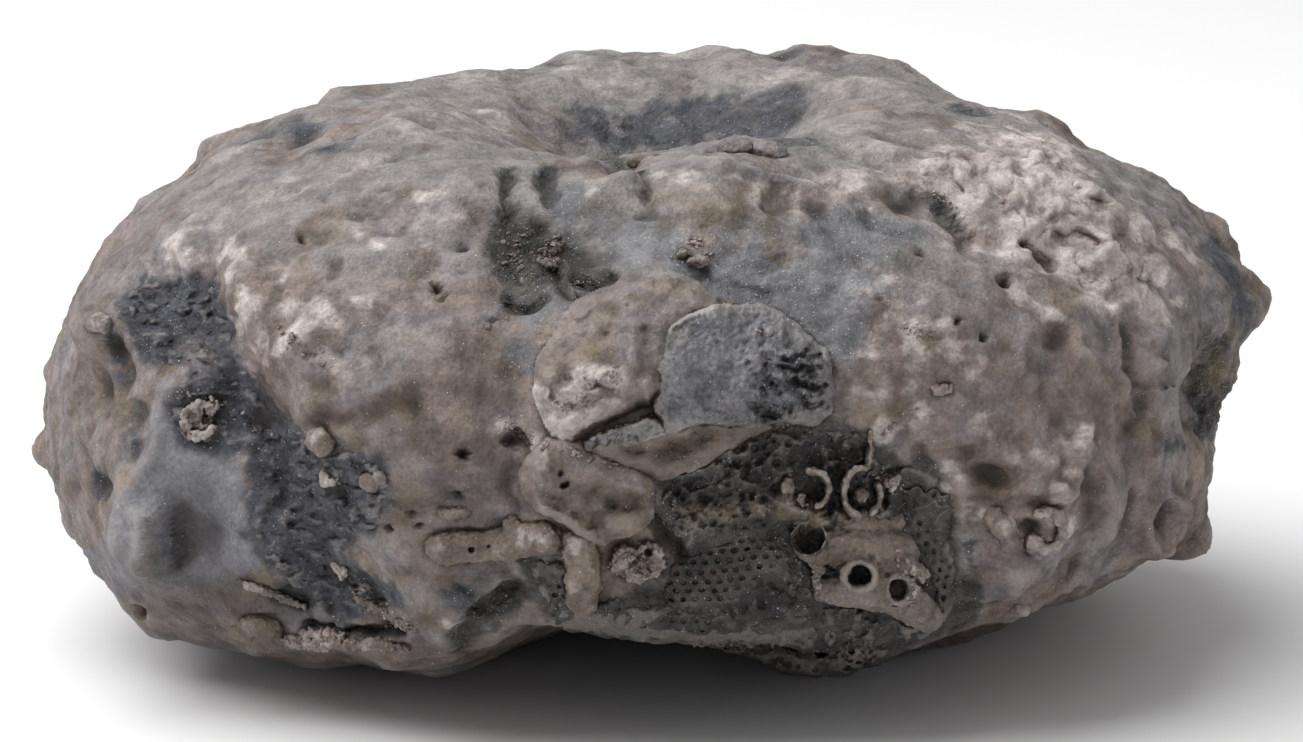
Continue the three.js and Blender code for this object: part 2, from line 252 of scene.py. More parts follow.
# %% Marks on the front
FRONT_MARKS = [mark(*row) for row in [
    # The hill of crust on the left: upright folds, a lip and a soft crease under it.
    ([(-10.4, 9.2), (-10.5, 7.9)], 0.35, 0.18), ([(-9.8, 9), (-9.7, 8)], 0.3, -0.12),
    ((-9, 8.3), 0.75, 0.25), ([(-8.2, 9.5), (-8, 8.1)], 0.3, -0.1),
    ([(-7.8, 9.4), (-7.6, 8.1)], 0.3, 0.12),
    ([(-10.4, 7.45), (-9, 7.65), (-8, 7.75), (-7.2, 7.9)], 0.45, 0.2),
    ([(-9.9, 6.9), (-8.9, 7.05), (-7.9, 7.1), (-7.1, 7.4)], 0.4, -0.22), ((-6.3, 9), 1.2, 0.3),
    ((-6.6, 5.5), 0.9, 0.3), ([(-10.4, 9.5), (-10.7, 9.1)], 0.4, 0.2), ((-9.4, 11.6), 0.35, -0.15),
    ((-9.3, 9), 0.3, -0.15), ((-11, 10.6), 0.6, -0.15), ([(-12.5, 12), (-12.3, 10.3)], 0.5, 0.3),
    ((-14.2, 12), 0.7, 0.4), ((-8, 12), 0.35, 0.12),
    ([(-11, 13.1), (-9.8, 13.5), (-8.6, 13.6), (-7, 13.3)], 0.4, 0.15),
    ([(-9, 13), (-6.4, 13.1), (-5.2, 13)], 0.3, -0.1),
    ([(-7.8, 11), (-6.4, 11.6), (-5.6, 11.4)], 0.25, -0.08),
    ([(-9.5, 10.9), (-8.2, 10.6), (-7.4, 10.1)], 0.25, 0.1),
    # The furrow between that hill and the middle, with rough hollows in it.
    ([(-5.3, 13.7), (-4.6, 11.9), (-4.1, 10.4)], 0.5, -0.2),
    ([(-4.2, 12.4), (-2.9, 11.8), (-1.9, 11.5)], 0.5, -0.25),
    ([(-4.5, 14.35), (-4.5, 13.7), (-4.4, 13.1)], 0.2, -0.45),
    ([(-3.3, 14.3), (-3.3, 13.4)], 0.27, -0.4), ((-3.3, 12.7), 0.25, -0.25),
    ([(-4.3, 11.5), (-3.8, 11.1), (-3.2, 11.2)], 0.45, -0.3),
    ([(-2.9, 11.7), (-2.85, 11.1), (-2.65, 10.6)], 0.12, -0.35),
    ([(-2.68, 11.7), (-2.62, 11.1), (-2.42, 10.6)], 0.1, 0.35),
    ([(-4.3, 10.65), (-4.1, 10.3), (-3.8, 10.2), (-3.5, 10.4), (-3.3, 10.7)], 0.12, -0.25),
    ([(-2.4, 11.3), (-2.1, 11.2)], 0.15, -0.6), ([(-1.85, 11.2), (-1.55, 11.25)], 0.17, -0.65),
    ([(-4.2, 6.4), (-3.9, 6.1)], 0.2, -0.5),
    # The crest hill: a folded rim, and flutes below it.
    ([(-1.9, 13.4), (-0.5, 14), (1.2, 14.3), (2.7, 14.2), (4.1, 13.7), (5.6, 13.2)], 0.3, 0.3),
    ((1.8, 13.2), 1.2, 0.3), ([(2.5, 13.7), (2.4, 12.6)], 0.12, -0.07),
    ([(3, 13.7), (3, 12.7)], 0.12, 0.08), ([(3.4, 13.6), (3.4, 12.8)], 0.12, -0.07),
    ([(-0.4, 13.9), (-0.42, 13.2)], 0.2, -0.28),
    ([(-2, 13.5), (-0.5, 14), (0.7, 14.24), (2.1, 14.1), (3.4, 13.8), (4.7, 13.36),
     (6.2, 13.1)], 0.1, 0.28),
    ([(-0.3, 14.3), (0.9, 14.55), (2.3, 14.4), (3.7, 14.1), (5, 13.7)], 0.16, -0.15),
    ((0.6, 12.9), 0.3, 0.2), ((1.9, 12.8), 0.35, 0.25), ((3.1, 12.8), 0.3, 0.2),
    ([(-1.7, 14.9), (-1, 14.7)], 0.25, -0.5), ([(0.4, 11.8), (1.5, 11.1)], 0.35, -0.2),
    # The right face: two slots, wrinkles that run down, and a few deep pits.
    ([(8.45, 13.2), (8.8, 12.8), (9.2, 12.3)], 0.24, -0.35), ([(7.9, 13.7), (8.4, 13.4)], 0.25, -0.15),
    ([(11, 12.2), (11.4, 11.85), (11.8, 11.6)], 0.11, -0.5), ([(6, 11.7), (5.3, 10.7)], 0.1, -0.06),
    ([(7.2, 11.6), (8.2, 10.4)], 0.1, -0.06), ([(6.5, 10.6), (7.6, 10.5), (8.6, 9.9)], 0.3, -0.1),
    ([(11.6, 9.4), (11.3, 8), (11.4, 6.8)], 0.45, -0.14),
    ([(14.3, 9.8), (14, 8.6), (14.1, 7.5)], 0.5, -0.2), ([(9.9, 9.4), (10.1, 8)], 0.45, -0.1),
    ([(13.6, 10.2), (13.55, 8.5), (14, 7.2), (14.5, 6.5)], 0.16, 0.35),
    ([(14.2, 8.2), (15.2, 8.6)], 0.13, 0.2), ([(14.3, 7.7), (15.5, 7.9)], 0.13, 0.2),
    ([(14.4, 9.3), (15.3, 9.6)], 0.16, 0.2), ([(12.5, 6.6), (12.25, 5.6), (11.9, 4.6)], 0.28, 0.35),
    ((12.4, 6.2), 0.12, 0.12), ((12.3, 5.75), 0.12, 0.12), ((12.15, 5.3), 0.12, 0.12),
    ([(12.4, 9.4), (12.6, 8), (12.4, 6.6)], 0.3, 0.14),
    ([(10.9, 9.4), (10.6, 8), (10.8, 7.1)], 0.3, 0.1),
    # The lower right: an oval hollow, lobes, and a pair of half rings left by small corals.
    ((9.7, 5.3), 0.45, -0.35), ([(8.8, 5.5), (8.7, 4.6), (9.1, 3.7)], 0.3, 0.25),
    ([(9.1, 6), (9.5, 6.5), (10.6, 6.4)], 0.3, -0.15),
    ([(9.4, 4.7), (10.6, 4.85), (11.9, 4.75)], 0.2, 0.15), ((11, 3.75), 0.35, -0.5),
    ([(10.6, 4.35), (11.2, 4.5), (11.8, 4.4)], 0.18, -0.25),
    ([(13.4, 5.2), (13.5, 4.3), (13.1, 2.9), (12.6, 1.8)], 0.35, 0.3),
    ([(12.9, 4.3), (12.4, 2.6)], 0.35, -0.2),
    ([(15.2, 4.7), (14.6, 4.3), (14.5, 3.6), (14.9, 3), (15.5, 3.1), (15.9, 3.7), (15.7, 4.4),
     (15.2, 4.7)], 0.26, 0.45), ((15.2, 3.8), 0.3, -0.3),
    ([(9.7, 2.5), (10, 1.9), (9.9, 1.3)], 0.25, -0.15), ((10.4, 2.1), 0.6, 0.25),
    ((9.2, 1.5), 0.4, -0.2),
    # The lower left: a smooth rounded ridge, a knob with a black hollow beside it, holes.
    ([(-14.2, 7.9), (-14.9, 7.3), (-15.1, 6.2), (-15.8, 4.9), (-16.2, 3.2)], 0.5, 0.35),
    ((-13.4, 7.1), 0.8, -0.45), ([(-15.1, 4.1), (-15.15, 3.5), (-15.3, 2.8)], 0.45, 1.15),
    ([(-14.4, 3.7), (-14.2, 3.1), (-14.5, 2.6)], 0.3, -0.25), ((-16.6, 9.2), 0.3, -0.5),
    ([(-16.4, 8.5), (-16, 7.3), (-15.7, 6.2)], 0.55, -0.45), ((-16, 7.6), 0.3, 0.45),
    ((-15.75, 6.35), 0.28, 0.45), ((-17, 4.9), 0.35, -0.45), ((-11.8, 7), 0.4, -0.2),
    # The lower middle: creases between the crust, the dark patch and the bottom lobes.
    ([(-10.5, 0.65), (-9.7, 0.8)], 0.13, -0.5), ([(-9.4, 0.6), (-7.7, 0.7)], 0.15, -0.55),
    ([(-4.5, 1.9), (-4.9, 1.3), (-5.7, 0.5)], 0.3, -0.5), ([(-11.7, 1.5), (-10.8, 1.5)], 0.3, -0.25),
    ([(0, 3.9), (0.2, 3.5), (0.6, 3.2)], 0.2, -0.4),
    ([(-4.1, 4.3), (-4.3, 5), (-4.2, 5.6)], 0.25, -0.2),
    ([(-7.2, 2.4), (-5.6, 2.2), (-4.6, 2.5)], 0.3, -0.15)]]

# Deep little holes, as places on the drawing with a radius, in mm.
HOLES = [
    (-10.6, 12.4, 0.12), (-6.45, 10.9, 0.14), (-6.3, 10.6, 0.1), (-5.75, 12.1, 0.12), (-4.8, 9.85, 0.09),
    (-5.6, 6, 0.16), (-5.8, 4.8, 0.1), (-7.1, 4.2, 0.11), (-7.9, 3.8, 0.13), (-7, 3.8, 0.1),
    (-3.4, 3.9, 0.16), (10.3, 11.2, 0.2), (9.5, 9.4, 0.13), (6.5, 10.6, 0.08), (7.8, 12, 0.12),
    (8.7, 9.9, 0.09), (-16, 0.9, 0.25)]
print("front:", len(FRONT_MARKS), "marks and", len(HOLES), "holes")

# %% [markdown]
# ## Modelling the body of the stone
# An icosphere has no seams and its faces are all alike, so it takes an all-over shape better than a
# UV sphere. The half that faces the camera is subdivided once more in edit mode, because that is
# where the eye goes. Then the formula puts each vertex in its place. All modelling is done with one
# unit for a millimetre, and a finished piece is scaled down to metres in its mesh.

# %% Helpers for modelling
def deselect_all():
    bpy.ops.object.select_all(action="DESELECT")


def mode(name):
    bpy.ops.object.mode_set(mode=name)


def select_faces(obj, wanted):
    """Enters edit mode with only the wanted faces selected; wanted holds one truth value a face."""
    mode("EDIT")
    bpy.ops.mesh.select_mode(type="FACE")
    bpy.ops.mesh.select_all(action="DESELECT")
    mode("OBJECT")
    obj.data.polygons.foreach_set("select", np.asarray(wanted, bool))
    mode("EDIT")


def numbers(items, name, width=3):
    out = np.zeros(len(items) * width)
    items.foreach_get(name, out)
    return out.reshape(-1, width)


def places(obj):
    return numbers(obj.data.vertices, "co")


def normals(obj):
    return numbers(obj.data.vertex_normals, "vector")


def set_places(obj, points):
    obj.data.vertices.foreach_set("co", np.asarray(points).ravel())
    obj.data.update()


def fractal(points, size, octaves=4, seed=0):
    """Cloudy noise, about -1 to 1, whose largest blobs are as wide as size, in mm."""
    shift = Vector((seed * 7.3, seed * 3.1, seed * 5.7))
    return np.array([noise.fractal(Vector(p) / size + shift, 1.0, 2.0, octaves) for p in points])


def billow(points, size, octaves=3, seed=0):
    """Rounded lumps with creases between them, about 0 in the creases and 1 on the lumps."""
    shift = Vector((seed * 7.3, seed * 3.1, seed * 5.7))
    return np.array([noise.turbulence(Vector(p) / size + shift, octaves, True) for p in points])


def wobble(points, size, octaves, seed):
    """Two noises for each point, which bend a drawing a little."""
    return np.stack([fractal(points, size, octaves, seed + k) for k in (0, 1)], axis=1)


def smoothstep(low, high, x):
    t = np.clip((x - low) / (high - low), 0, 1)
    return t * t * (3 - 2 * t)


def unit(rows):
    """Each row scaled to a length of one."""
    return rows / np.maximum(np.linalg.norm(rows, axis=1), 1e-9)[:, None]


def surface(d, parts):
    """The points of the cup in the directions d, with all pushes made."""
    base = smooth_cup(d)
    length = np.linalg.norm(base, axis=1)
    return base * (1 + pushes(base, parts) / length)[:, None] + CUP_MIDDLE


def push_along(obj, amounts):
    """Moves each vertex along its normal by an amount in mm."""
    set_places(obj, places(obj) + normals(obj) * amounts[:, None])


def tree_of(obj):
    """A search tree of a piece's faces, which finds what a ray hits."""
    return BVHTree.FromPolygons(places(obj), [tuple(face.vertices) for face in obj.data.polygons])


# %% [markdown]
# ## Regions
# Some places are dark shale, some pale calcite, some are covered with fine blue-grey dust. Each
# region is a short outline on the drawing of the front.

# %% Outlines of the regions
def ring_outline(u, w, across, up, count=10):
    turns = [2 * math.pi * i / count for i in range(count)]
    return [(u + across * math.cos(t), w + up * math.sin(t)) for t in turns]


SHALE = [
    [(-16.3, 10.5), (-15.7, 11.2), (-14.5, 11.4), (-13.2, 11), (-12.6, 10), (-12.6, 9), (-11.8, 8.3),
     (-11.4, 7.2), (-12.5, 5.9), (-13.9, 6.1), (-14.6, 6.6), (-14.7, 7.5), (-14.3, 8.2), (-15.2, 8.4),
     (-16, 9.3)],
    [(-11.9, 7.4), (-10.5, 6.7), (-9.1, 6.2), (-7.8, 5.9), (-7.6, 4.7), (-8.2, 3.8), (-9.1, 3.2),
     (-9.2, 2.6), (-7.9, 2.2), (-7.5, 1.6), (-8.8, 1), (-10.4, 0.8), (-11, 1.8), (-11.8, 2.8),
     (-12.2, 3.9), (-12.3, 5.1), (-12.3, 6.2)],
]
HAZE = [
    [(-15.2, 6.6), (-14.8, 8), (-13.6, 8.3), (-13, 6.4), (-12.3, 5.6), (-12.3, 4), (-12, 2.6),
     (-12.6, 2.1), (-13.4, 1.9), (-15.2, 1.9), (-16.8, 1.6), (-17.4, 2.6), (-16.4, 4.5)],
]
DUST = [
    [(-2.8, 13.4), (-0.6, 13.2), (1, 12.1), (4.3, 12.3), (6.4, 13.4), (7.4, 12.6), (6, 10.6),
     (5.6, 9), (4.4, 9.4), (2.8, 10.4), (1.2, 10.6), (-0.5, 11.4), (-1.8, 11.8)],
    [(-4.9, 11.6), (-2.4, 12.4), (-2.2, 10.8), (-3.2, 9.5), (-3.6, 8), (-4.4, 8.4), (-4.4, 10)],
]
POPCORN = [
    [(6.6, 14.5), (8.8, 15.3), (10.4, 15.5), (12.3, 15.7), (13.6, 14.4), (15.2, 12.8), (15.5, 10.8),
     (13.6, 10.3), (12, 11), (10.2, 12.2), (9.2, 13.2), (8.4, 13.7)],
]
POROUS = [
    [(-0.1, 5.4), (1.2, 6.4), (2.9, 6.9), (5.5, 7), (7, 5.9), (8.5, 5.6), (8.8, 3.4), (9.2, 1.3),
     (8.6, 0.5), (7.2, -0.3), (6, -1.2), (3, -1), (1.5, -0.5), (-0.2, 0.2), (-2.9, 0.4), (-3.7, 1.7),
     (-4.1, 3), (-2.4, 3.2), (-1.7, 1.9), (0, 2), (0.5, 3.3), (-0.2, 4.4)],
]
OCHRE = [ring_outline(*row) for row in [
    (2, 13.1, 0.7, 0.45), (0.4, 12.8, 0.45, 0.4), (3.3, 12.7, 0.25, 0.4), (-1.9, 13.3, 0.4, 0.3),
    (-9.8, 7.9, 0.6, 0.7), (-7.6, 7.4, 0.8, 0.5), (9.7, 5.3, 0.45, 0.45), (14.5, 6.6, 0.7, 0.35),
    (12.2, 12.1, 0.6, 0.5), (10.3, 14, 0.4, 0.2), (12.2, 14.2, 0.4, 0.35), (10.4, 12.8, 0.25, 0.2),
    (14.3, 11.9, 0.3, 0.25), (-16.2, 7.3, 0.4, 0.5), (17.2, 8.4, 0.8, 0.9)]]
CREST = [ring_outline(1.9, 13.35, 2.9, 0.7)]
print("regions:", len(SHALE + HAZE + DUST + POPCORN + POROUS + OCHRE + CREST), "outlines")

# %% [markdown]
# Streaks, stains and painted shade are too narrow for outlines. Each is a line on the drawing, its
# half width in mm and its strength.

# %% Streaks, stains and painted shade
# Grubby hollows, with painted shade in them.
GRUBBY_AND_SHADED = [
    ([(-4.6, 12.8), (-4.3, 12), (-3.8, 11.2)], 0.8, 0.95),
    ([(-3.6, 11.9), (-2.8, 11.5), (-1.9, 11)], 0.5, 0.9),
    ([(-3.9, 12.6), (-3, 12), (-2.2, 11.6)], 0.45, 0.7),
    ([(-3.9, 11), (-2.8, 11.1), (-1.7, 11.2)], 0.35, 0.75),
    ([(-4.3, 10.6), (-3.9, 10.2), (-3.4, 10.5)], 0.25, 0.9), ([(-2.5, 11.3), (-2.1, 11.15)], 0.2, 1),
    ([(-1.85, 11.2), (-1.5, 11.25)], 0.2, 1), ([(-4.2, 6.4), (-3.9, 6.1)], 0.25, 0.9),
    ([(-3, 13), (-2.6, 12.4)], 0.3, 0.5), ([(17.1, 9), (17.4, 8), (17.2, 7)], 0.8, 0.9),
    ([(16.7, 8.6), (16.8, 7.4), (17, 6.6)], 0.4, 1),
    ([(-2.9, 2.8), (-4, 1.9), (-5.2, 1.1), (-6, 0.4)], 0.5, 0.85), ([(9.2, 2.2), (9.3, 1.2)], 0.4, 0.8),
    ([(-1.6, 14.9), (-1, 14.6)], 0.25, 0.9)]
# Pale calcite.
CALCITE = [
    ([(-12.3, 11.6), (-10.4, 9.6), (-9.4, 8.8)], 0.9, 0.5), ([(-8.8, 12.4), (-6.2, 12.7)], 0.8, 0.45),
    ([(6.2, 10.8), (7.4, 9.6), (8.8, 9.2)], 0.9, 0.55), ([(5.6, 7.7), (7.6, 8.2)], 0.7, 0.5),
    ([(9.5, 6.9), (11.5, 6), (11.8, 5)], 0.7, 0.45), ([(-2.6, 9), (-1.4, 9.9), (0, 10.2)], 0.7, 0.4),
    ([(-12.8, 12), (-12.4, 11.2), (-12.2, 10.5), (-12, 9.9)], 0.51, 0.9),
    ([(-15.1, 11.6), (-14.3, 12.1), (-13.9, 12.2)], 0.61, 0.71),
    ([(-11.6, 9), (-10.8, 9.3), (-10.3, 9.7), (-9.7, 9.9)], 0.54, 0.95),
    ([(-11.3, 9.6), (-11.6, 8.6)], 0.3, 0.76), ([(-9.4, 8.8), (-9.1, 8.2)], 0.47, 0.66),
    ([(-8.3, 12.2), (-7.9, 11.9)], 0.3, 0.76), ([(-11.8, 13.7), (-10.8, 13.8)], 0.41, 0.57),
    ([(-7.4, 13.4), (-6, 13.6)], 0.34, 0.57), ([(-8.8, 10.5), (-8.3, 10.3)], 0.14, 0.6),
    ([(-7, 10.4), (-6.2, 9.7)], 0.27, 0.33), ([(-9, 13.1), (-8.2, 12.9)], 0.34, 0.38),
    ([(-4.3, 6.9), (-4.1, 6.3), (-3.6, 6.2)], 0.34, 0.85), ([(-3.5, 6.6), (-3, 6.2)], 0.27, 0.66),
    ([(7.2, 9.2), (7.7, 9.4), (8.2, 9.7)], 0.41, 0.95), ([(5, 8.1), (5.5, 8.5), (6, 8.7)], 0.43, 0.81),
    ([(6.5, 6.6), (7, 6.8), (7.7, 7.2)], 0.35, 0.95), ([(8.2, 8.2), (8.6, 8.6)], 0.34, 0.33),
    ([(10.5, 10.6), (11.1, 10.3), (11.8, 10)], 0.3, 0.81),
    ([(13.1, 10.3), (14.1, 10.9), (15.5, 11.4)], 0.54, 0.76),
    ([(12.5, 6.5), (12.1, 5.5), (11.7, 4.5)], 0.41, 0.9),
    ([(8.5, 5.4), (8.6, 4.8), (8.9, 4.2)], 0.38, 0.76), ([(9.4, 4.2), (10, 3.9), (10.7, 3.6)], 0.41, 0.81),
    ([(11.1, 3), (11.6, 3.3), (12, 3.7)], 0.34, 0.76), ([(10.4, 5.7), (11, 5.9)], 0.34, 0.57),
    ([(10.7, 1.2), (11, 1.2)], 0.27, 0.66), ([(5, 13.9), (6.5, 14.2), (8, 14)], 0.7, 0.7),
    ([(13, 11.3), (14.6, 11), (15.4, 10.4)], 0.7, 0.6), ([(5.1, 13.4), (6, 14), (7.1, 14.4)], 0.54, 0.57),
    ([(-6.3, 1), (-5.5, 1)], 0.15, 0.7), ([(-8.9, 3), (-7.5, 3.1)], 0.12, 0.5),
    ([(-2, 13.5), (-0.5, 14), (0.7, 14.24), (2.1, 14.1), (3.4, 13.8), (4.7, 13.36),
     (6.2, 13.1)], 0.12, 0.9), ([(13.6, 10.1), (13.5, 8.5), (14, 7.2)], 0.12, 0.35),
    ([(-0.6, 13.6), (1.8, 13.8), (4.2, 13.2)], 0.6, 0.4), ([(6.4, 9.6), (9, 8.4)], 0.8, 0.45)]
# Painted shade in slots, cracks, deep hollows and undercuts.
PAINTED_SHADE_PLACES = [
    ([(-4.5, 14.3), (-4.5, 13.7), (-4.4, 13.1)], 0.2, 1.4), ([(-3.3, 14.3), (-3.3, 13.4)], 0.3, 1.3),
    ([(-0.4, 13.8), (-0.42, 13.4)], 0.17, 0.7), ([(1.8, 11.1), (3, 10.7)], 0.3, 0.6),
    ([(0.6, 11.8), (1.5, 11.1)], 0.25, 0.8), ([(1.4, 12), (3, 11.9), (4.4, 11.3)], 0.35, 0.5),
    ([(17.1, 9), (17.4, 8), (17.2, 7)], 0.9, 1), ([(16.6, 8.6), (16.7, 7.4), (17, 6.6)], 0.4, 1),
    ([(17.4, 12.2), (18, 11.2), (18.3, 10.2)], 0.8, 0.75), ([(16.9, 10.8), (17.2, 9.9)], 0.6, 0.6),
    ([(9.3, 2), (9.2, 1.2)], 0.45, 0.9), ([(9, 3.2), (9.3, 2.4)], 0.2, 0.7),
    ([(-11.9, 4.4), (-11.4, 3), (-11.4, 1.8)], 0.5, 0.6), ([(-6, 1.8), (-5.2, 1.4), (-4.4, 1.8)], 0.6, 0.8),
    ([(-14.3, 3.5), (-14.1, 3), (-14.4, 2.6)], 0.2, 0.6),
    ([(-16.4, 8.5), (-16, 7.3), (-15.7, 6)], 0.55, 0.6), ([(-16.6, 9.3), (-16.4, 9)], 0.3, 0.9),
    ([(-17.1, 5.2), (-16.9, 4.6)], 0.35, 0.8), ([(7.9, 13.8), (8.5, 13.3), (9.2, 12.4)], 0.25, 1.5),
    ([(10.9, 12.2), (11.8, 11.6)], 0.15, 0.8), ([(10.2, 11.3), (10.5, 11.2)], 0.25, 0.7),
    ([(-10.6, 13), (-8.8, 13)], 0.2, 0.4), ([(14.9, 5.9), (15.8, 6.2)], 0.3, 0.6),
    ([(13.9, 5.6), (13.6, 4.4), (13, 2.8)], 0.25, 0.4),
    ([(-10.4, 0.75), (-9.2, 0.65), (-7.6, 0.6)], 0.16, 1),
    ([(1.6, 15.9), (2.8, 16.5), (4, 16.2)], 0.7, 0.6)]
# Painted brown shade in creases, under overhangs and on the underside.
CREASE_SHADE = [
    ([(-7.2, 6.5), (-5.6, 6), (-4.3, 5.7)], 0.9, 0.9), ([(-7, 4.8), (-5.4, 5.1), (-4.2, 4.6)], 0.8, 1.1),
    ([(-10, 7), (-8.6, 7.2), (-7.2, 7.5)], 0.3, 0.9), ([(-6.6, 2.6), (-5, 2.9)], 0.6, 0.6),
    ([(-13.4, 0.9), (-11, 0), (-8, -0.5), (-5.4, 0.1)], 0.5, 0.3),
    ([(-15.8, 2.4), (-14.6, 1.6), (-12.9, 1.7)], 0.8, 1.2),
    ([(-17.4, 7.5), (-16.9, 5.5), (-16.4, 3.5)], 0.5, 0.25),
    ([(-4.9, 10.8), (-4.6, 9.2), (-4.3, 7.4)], 0.6, 0.5), ([(9.4, 5.3), (10, 5.3)], 0.35, 1),
    ([(9.3, 4.65), (10.6, 4.75), (12.2, 5)], 0.14, 0.9),
    ([(12.9, 4.5), (12.5, 3.2), (11.9, 2.2)], 0.3, 0.7),
    ([(13.9, 9.6), (14.3, 8.3), (14.5, 7.2)], 0.3, 0.6), ([(14.7, 6.4), (15.8, 6.1)], 0.25, 0.8),
    ([(16.1, 4.8), (16.4, 4)], 0.25, 1), ([(15, 4), (15.3, 3.6)], 0.3, 0.7),
    ([(11.7, 9.2), (11.4, 7.8), (11.4, 6.6)], 0.3, 0.35), ([(8, 8), (9.2, 7.6), (10.2, 7.6)], 0.35, 0.6),
    ([(6.4, 8.6), (7.4, 8.1)], 0.35, 0.5), ([(-4.4, 12.4), (-3.4, 11.7), (-2.2, 11.1)], 0.9, 1.8),
    ([(-3.2, 5.3), (-1, 4.6)], 0.9, 0.7), ([(-11.6, 5.4), (-10.5, 4.2), (-9.9, 2.8)], 0.8, 0.7),
    ([(-1.6, 5.9), (0, 5.7), (1.8, 6.4), (3, 6.9)], 0.5, 1.3)]
print("streaks and stains:", len(GRUBBY_AND_SHADED + CALCITE + PAINTED_SHADE_PLACES + CREASE_SHADE))

# %% [markdown]
# A point's depth inside an outline, or its nearness to a line, gives a soft mask, which noise makes
# ragged. The masks shape the surface here and colour it later.

# %% Masks from outlines and lines
def depth_inside(at, outline):
    """Distance to the outline in mm, positive inside it and negative outside."""
    corners = np.array(outline)
    nearest = np.full(len(at), np.inf)
    inside = np.zeros(len(at), bool)
    for a, b in zip(corners, np.roll(corners, -1, axis=0)):
        nearest = np.minimum(nearest, gap_to_path(at, [a, b]))
        crosses = (a[1] > at[:, 1]) != (b[1] > at[:, 1])
        slope = (b[0] - a[0]) / (b[1] - a[1] if b[1] != a[1] else 1e-9)
        inside ^= crosses & (at[:, 0] < a[0] + slope * (at[:, 1] - a[1]))
    return np.where(inside, nearest, -nearest)


def mask(points, outlines, soft=0.45, wander=0.35):
    """0 to 1 at each point of the front: how far it is inside any of the outlines.

    The edge is soft over a distance and wanders with noise, both in mm.
    """
    at = drawn(points)
    depth = np.max([depth_inside(at, outline) for outline in outlines], axis=0)
    ragged = wander * (fractal(points, 1.0, 3, 5) + 1.5 * (wander > 0.5) * fractal(points, 2.4, 2, 25))
    return smoothstep(-soft, soft, depth + ragged) * smoothstep(3, 1, points[:, 1])


def strokes(points, rows, broken=0.0, seed=26):
    """0 to 1 near any of the rows' lines; broken lets noise eat gaps and streaks into them."""
    bent = drawn(points) + 0.22 * wobble(points, 0.8, 3, seed)
    total = np.zeros(len(points))
    for path, half_width, strength in rows:
        gap = gap_to_path(bent, np.array(path))
        total = np.maximum(total, strength * np.exp(-(gap / half_width) ** 2))
    eaten = broken * (0.2 - 1.1 * fractal(points, 0.7, 4, seed + 2))
    return smoothstep(0.05, 1.0, total * (1.15 - eaten) - 0.3 * eaten) * smoothstep(3, 1, points[:, 1])


# %% [markdown]
# The icosphere takes the large relief first, so that the faces that look at the camera can be found
# and subdivided. Then the formula is applied once more to the finer mesh.

# %% The body, from an icosphere
BODY_LEVELS = 7
FACES_THE_CAMERA = 0.15

deselect_all()
bpy.ops.mesh.primitive_ico_sphere_add(subdivisions=BODY_LEVELS, radius=20)
body = bpy.context.object
body.name = "crinoid_cup"
d = unit(places(body) * CUP_HALF)
set_places(body, surface(d, LARGE_RELIEF + OUTLINE_RELIEF))

facing = numbers(body.data.polygons, "normal") @ OUT
select_faces(body, facing > FACES_THE_CAMERA)
bpy.ops.mesh.subdivide(number_cuts=1)
mode("OBJECT")

d = unit(places(body) - CUP_MIDDLE)
rough = surface(d, LARGE_RELIEF + OUTLINE_RELIEF)
rough += d * (0.25 * fractal(rough, 5, 2, 1))[:, None]
set_places(body, rough)
print("body:", len(body.data.polygons), "faces")

# %% [markdown]
# The middle relief follows. Crust swells into soft lumps with creases between them, which is what the
# turbulence noise gives. The hazy ridge stays smooth, shale breaks into small flakes, and calcite is
# sugary. So the noise is weighted with the masks of the regions.

# %% Small relief of the body
start = places(body)
front = smoothstep(-0.05, 0.25, normals(body) @ OUT) * smoothstep(3, 1, start[:, 1])
top = smoothstep(0.35, 0.8, normals(body)[:, 2])
shale, haze, porous = (mask(start, outlines) for outlines in (SHALE, HAZE, POROUS))
porous = np.maximum(porous, 2 * strokes(start, GRUBBY_AND_SHADED, 0.2, 46))
popcorn = mask(start, POPCORN, 0.8)
calcite = np.maximum(strokes(start, CALCITE, 0.6), popcorn)
calm = 1 - 0.85 * haze - 0.3 * top
wavering = wobble(start, 0.9, 3, 21)
push_along(body, front * pressed(drawn(start) + 0.16 * wavering, FRONT_MARKS))
lumps = billow(start, 2.6, 3, 2) - 0.6
push_along(body, (1 - 0.8 * haze) * (0.3 + 0.1 * top) * lumps + calm * 0.14 * fractal(start, 1.1, 3, 3))
push_along(body, calm * (0.05 * fractal(start, 0.45, 3, 4)
                         + shale * 0.24 * (billow(start * (1, 1, 1.6), 0.7, 3, 6) - 0.5)
                         + calcite * 0.12 * (billow(start, 0.45, 2, 7) - 0.5)
                         + popcorn * 0.6 * (billow(start, 1.7, 3, 27) - 0.55)
                         + porous * 0.1 * (billow(start, 0.4, 2, 8) - 0.5)))
at = drawn(start)
for u, w, radius in HOLES:
    gap = gap_to(at, u, w)
    push_along(body, -front * 3 * radius * smoothstep(1.25 * radius, 0.7 * radius, gap))

settled = places(body)
settled[:, 2] = np.maximum(settled[:, 2], 0)
set_places(body, settled)
body_tree = tree_of(body)
print("relief of the body from", settled.min(axis=0).round(2), "to", settled.max(axis=0).round(2), "mm")

# %% [markdown]
# ## Notes for the finish
# The finish needs to know where the regions are, and where the hollows are. Both are written on the
# vertices as attributes. Mud gathers in hollows and shade falls there, so both are painted in. A vertex
# that lies below the average of its surroundings is in a hollow, so the mesh is compared with a
# smoothed copy of itself.

# %% Attributes
def note(obj, name, values):
    attribute = obj.data.attributes.new(name, "FLOAT", "POINT")
    attribute.data.foreach_set("value", np.asarray(values, float))


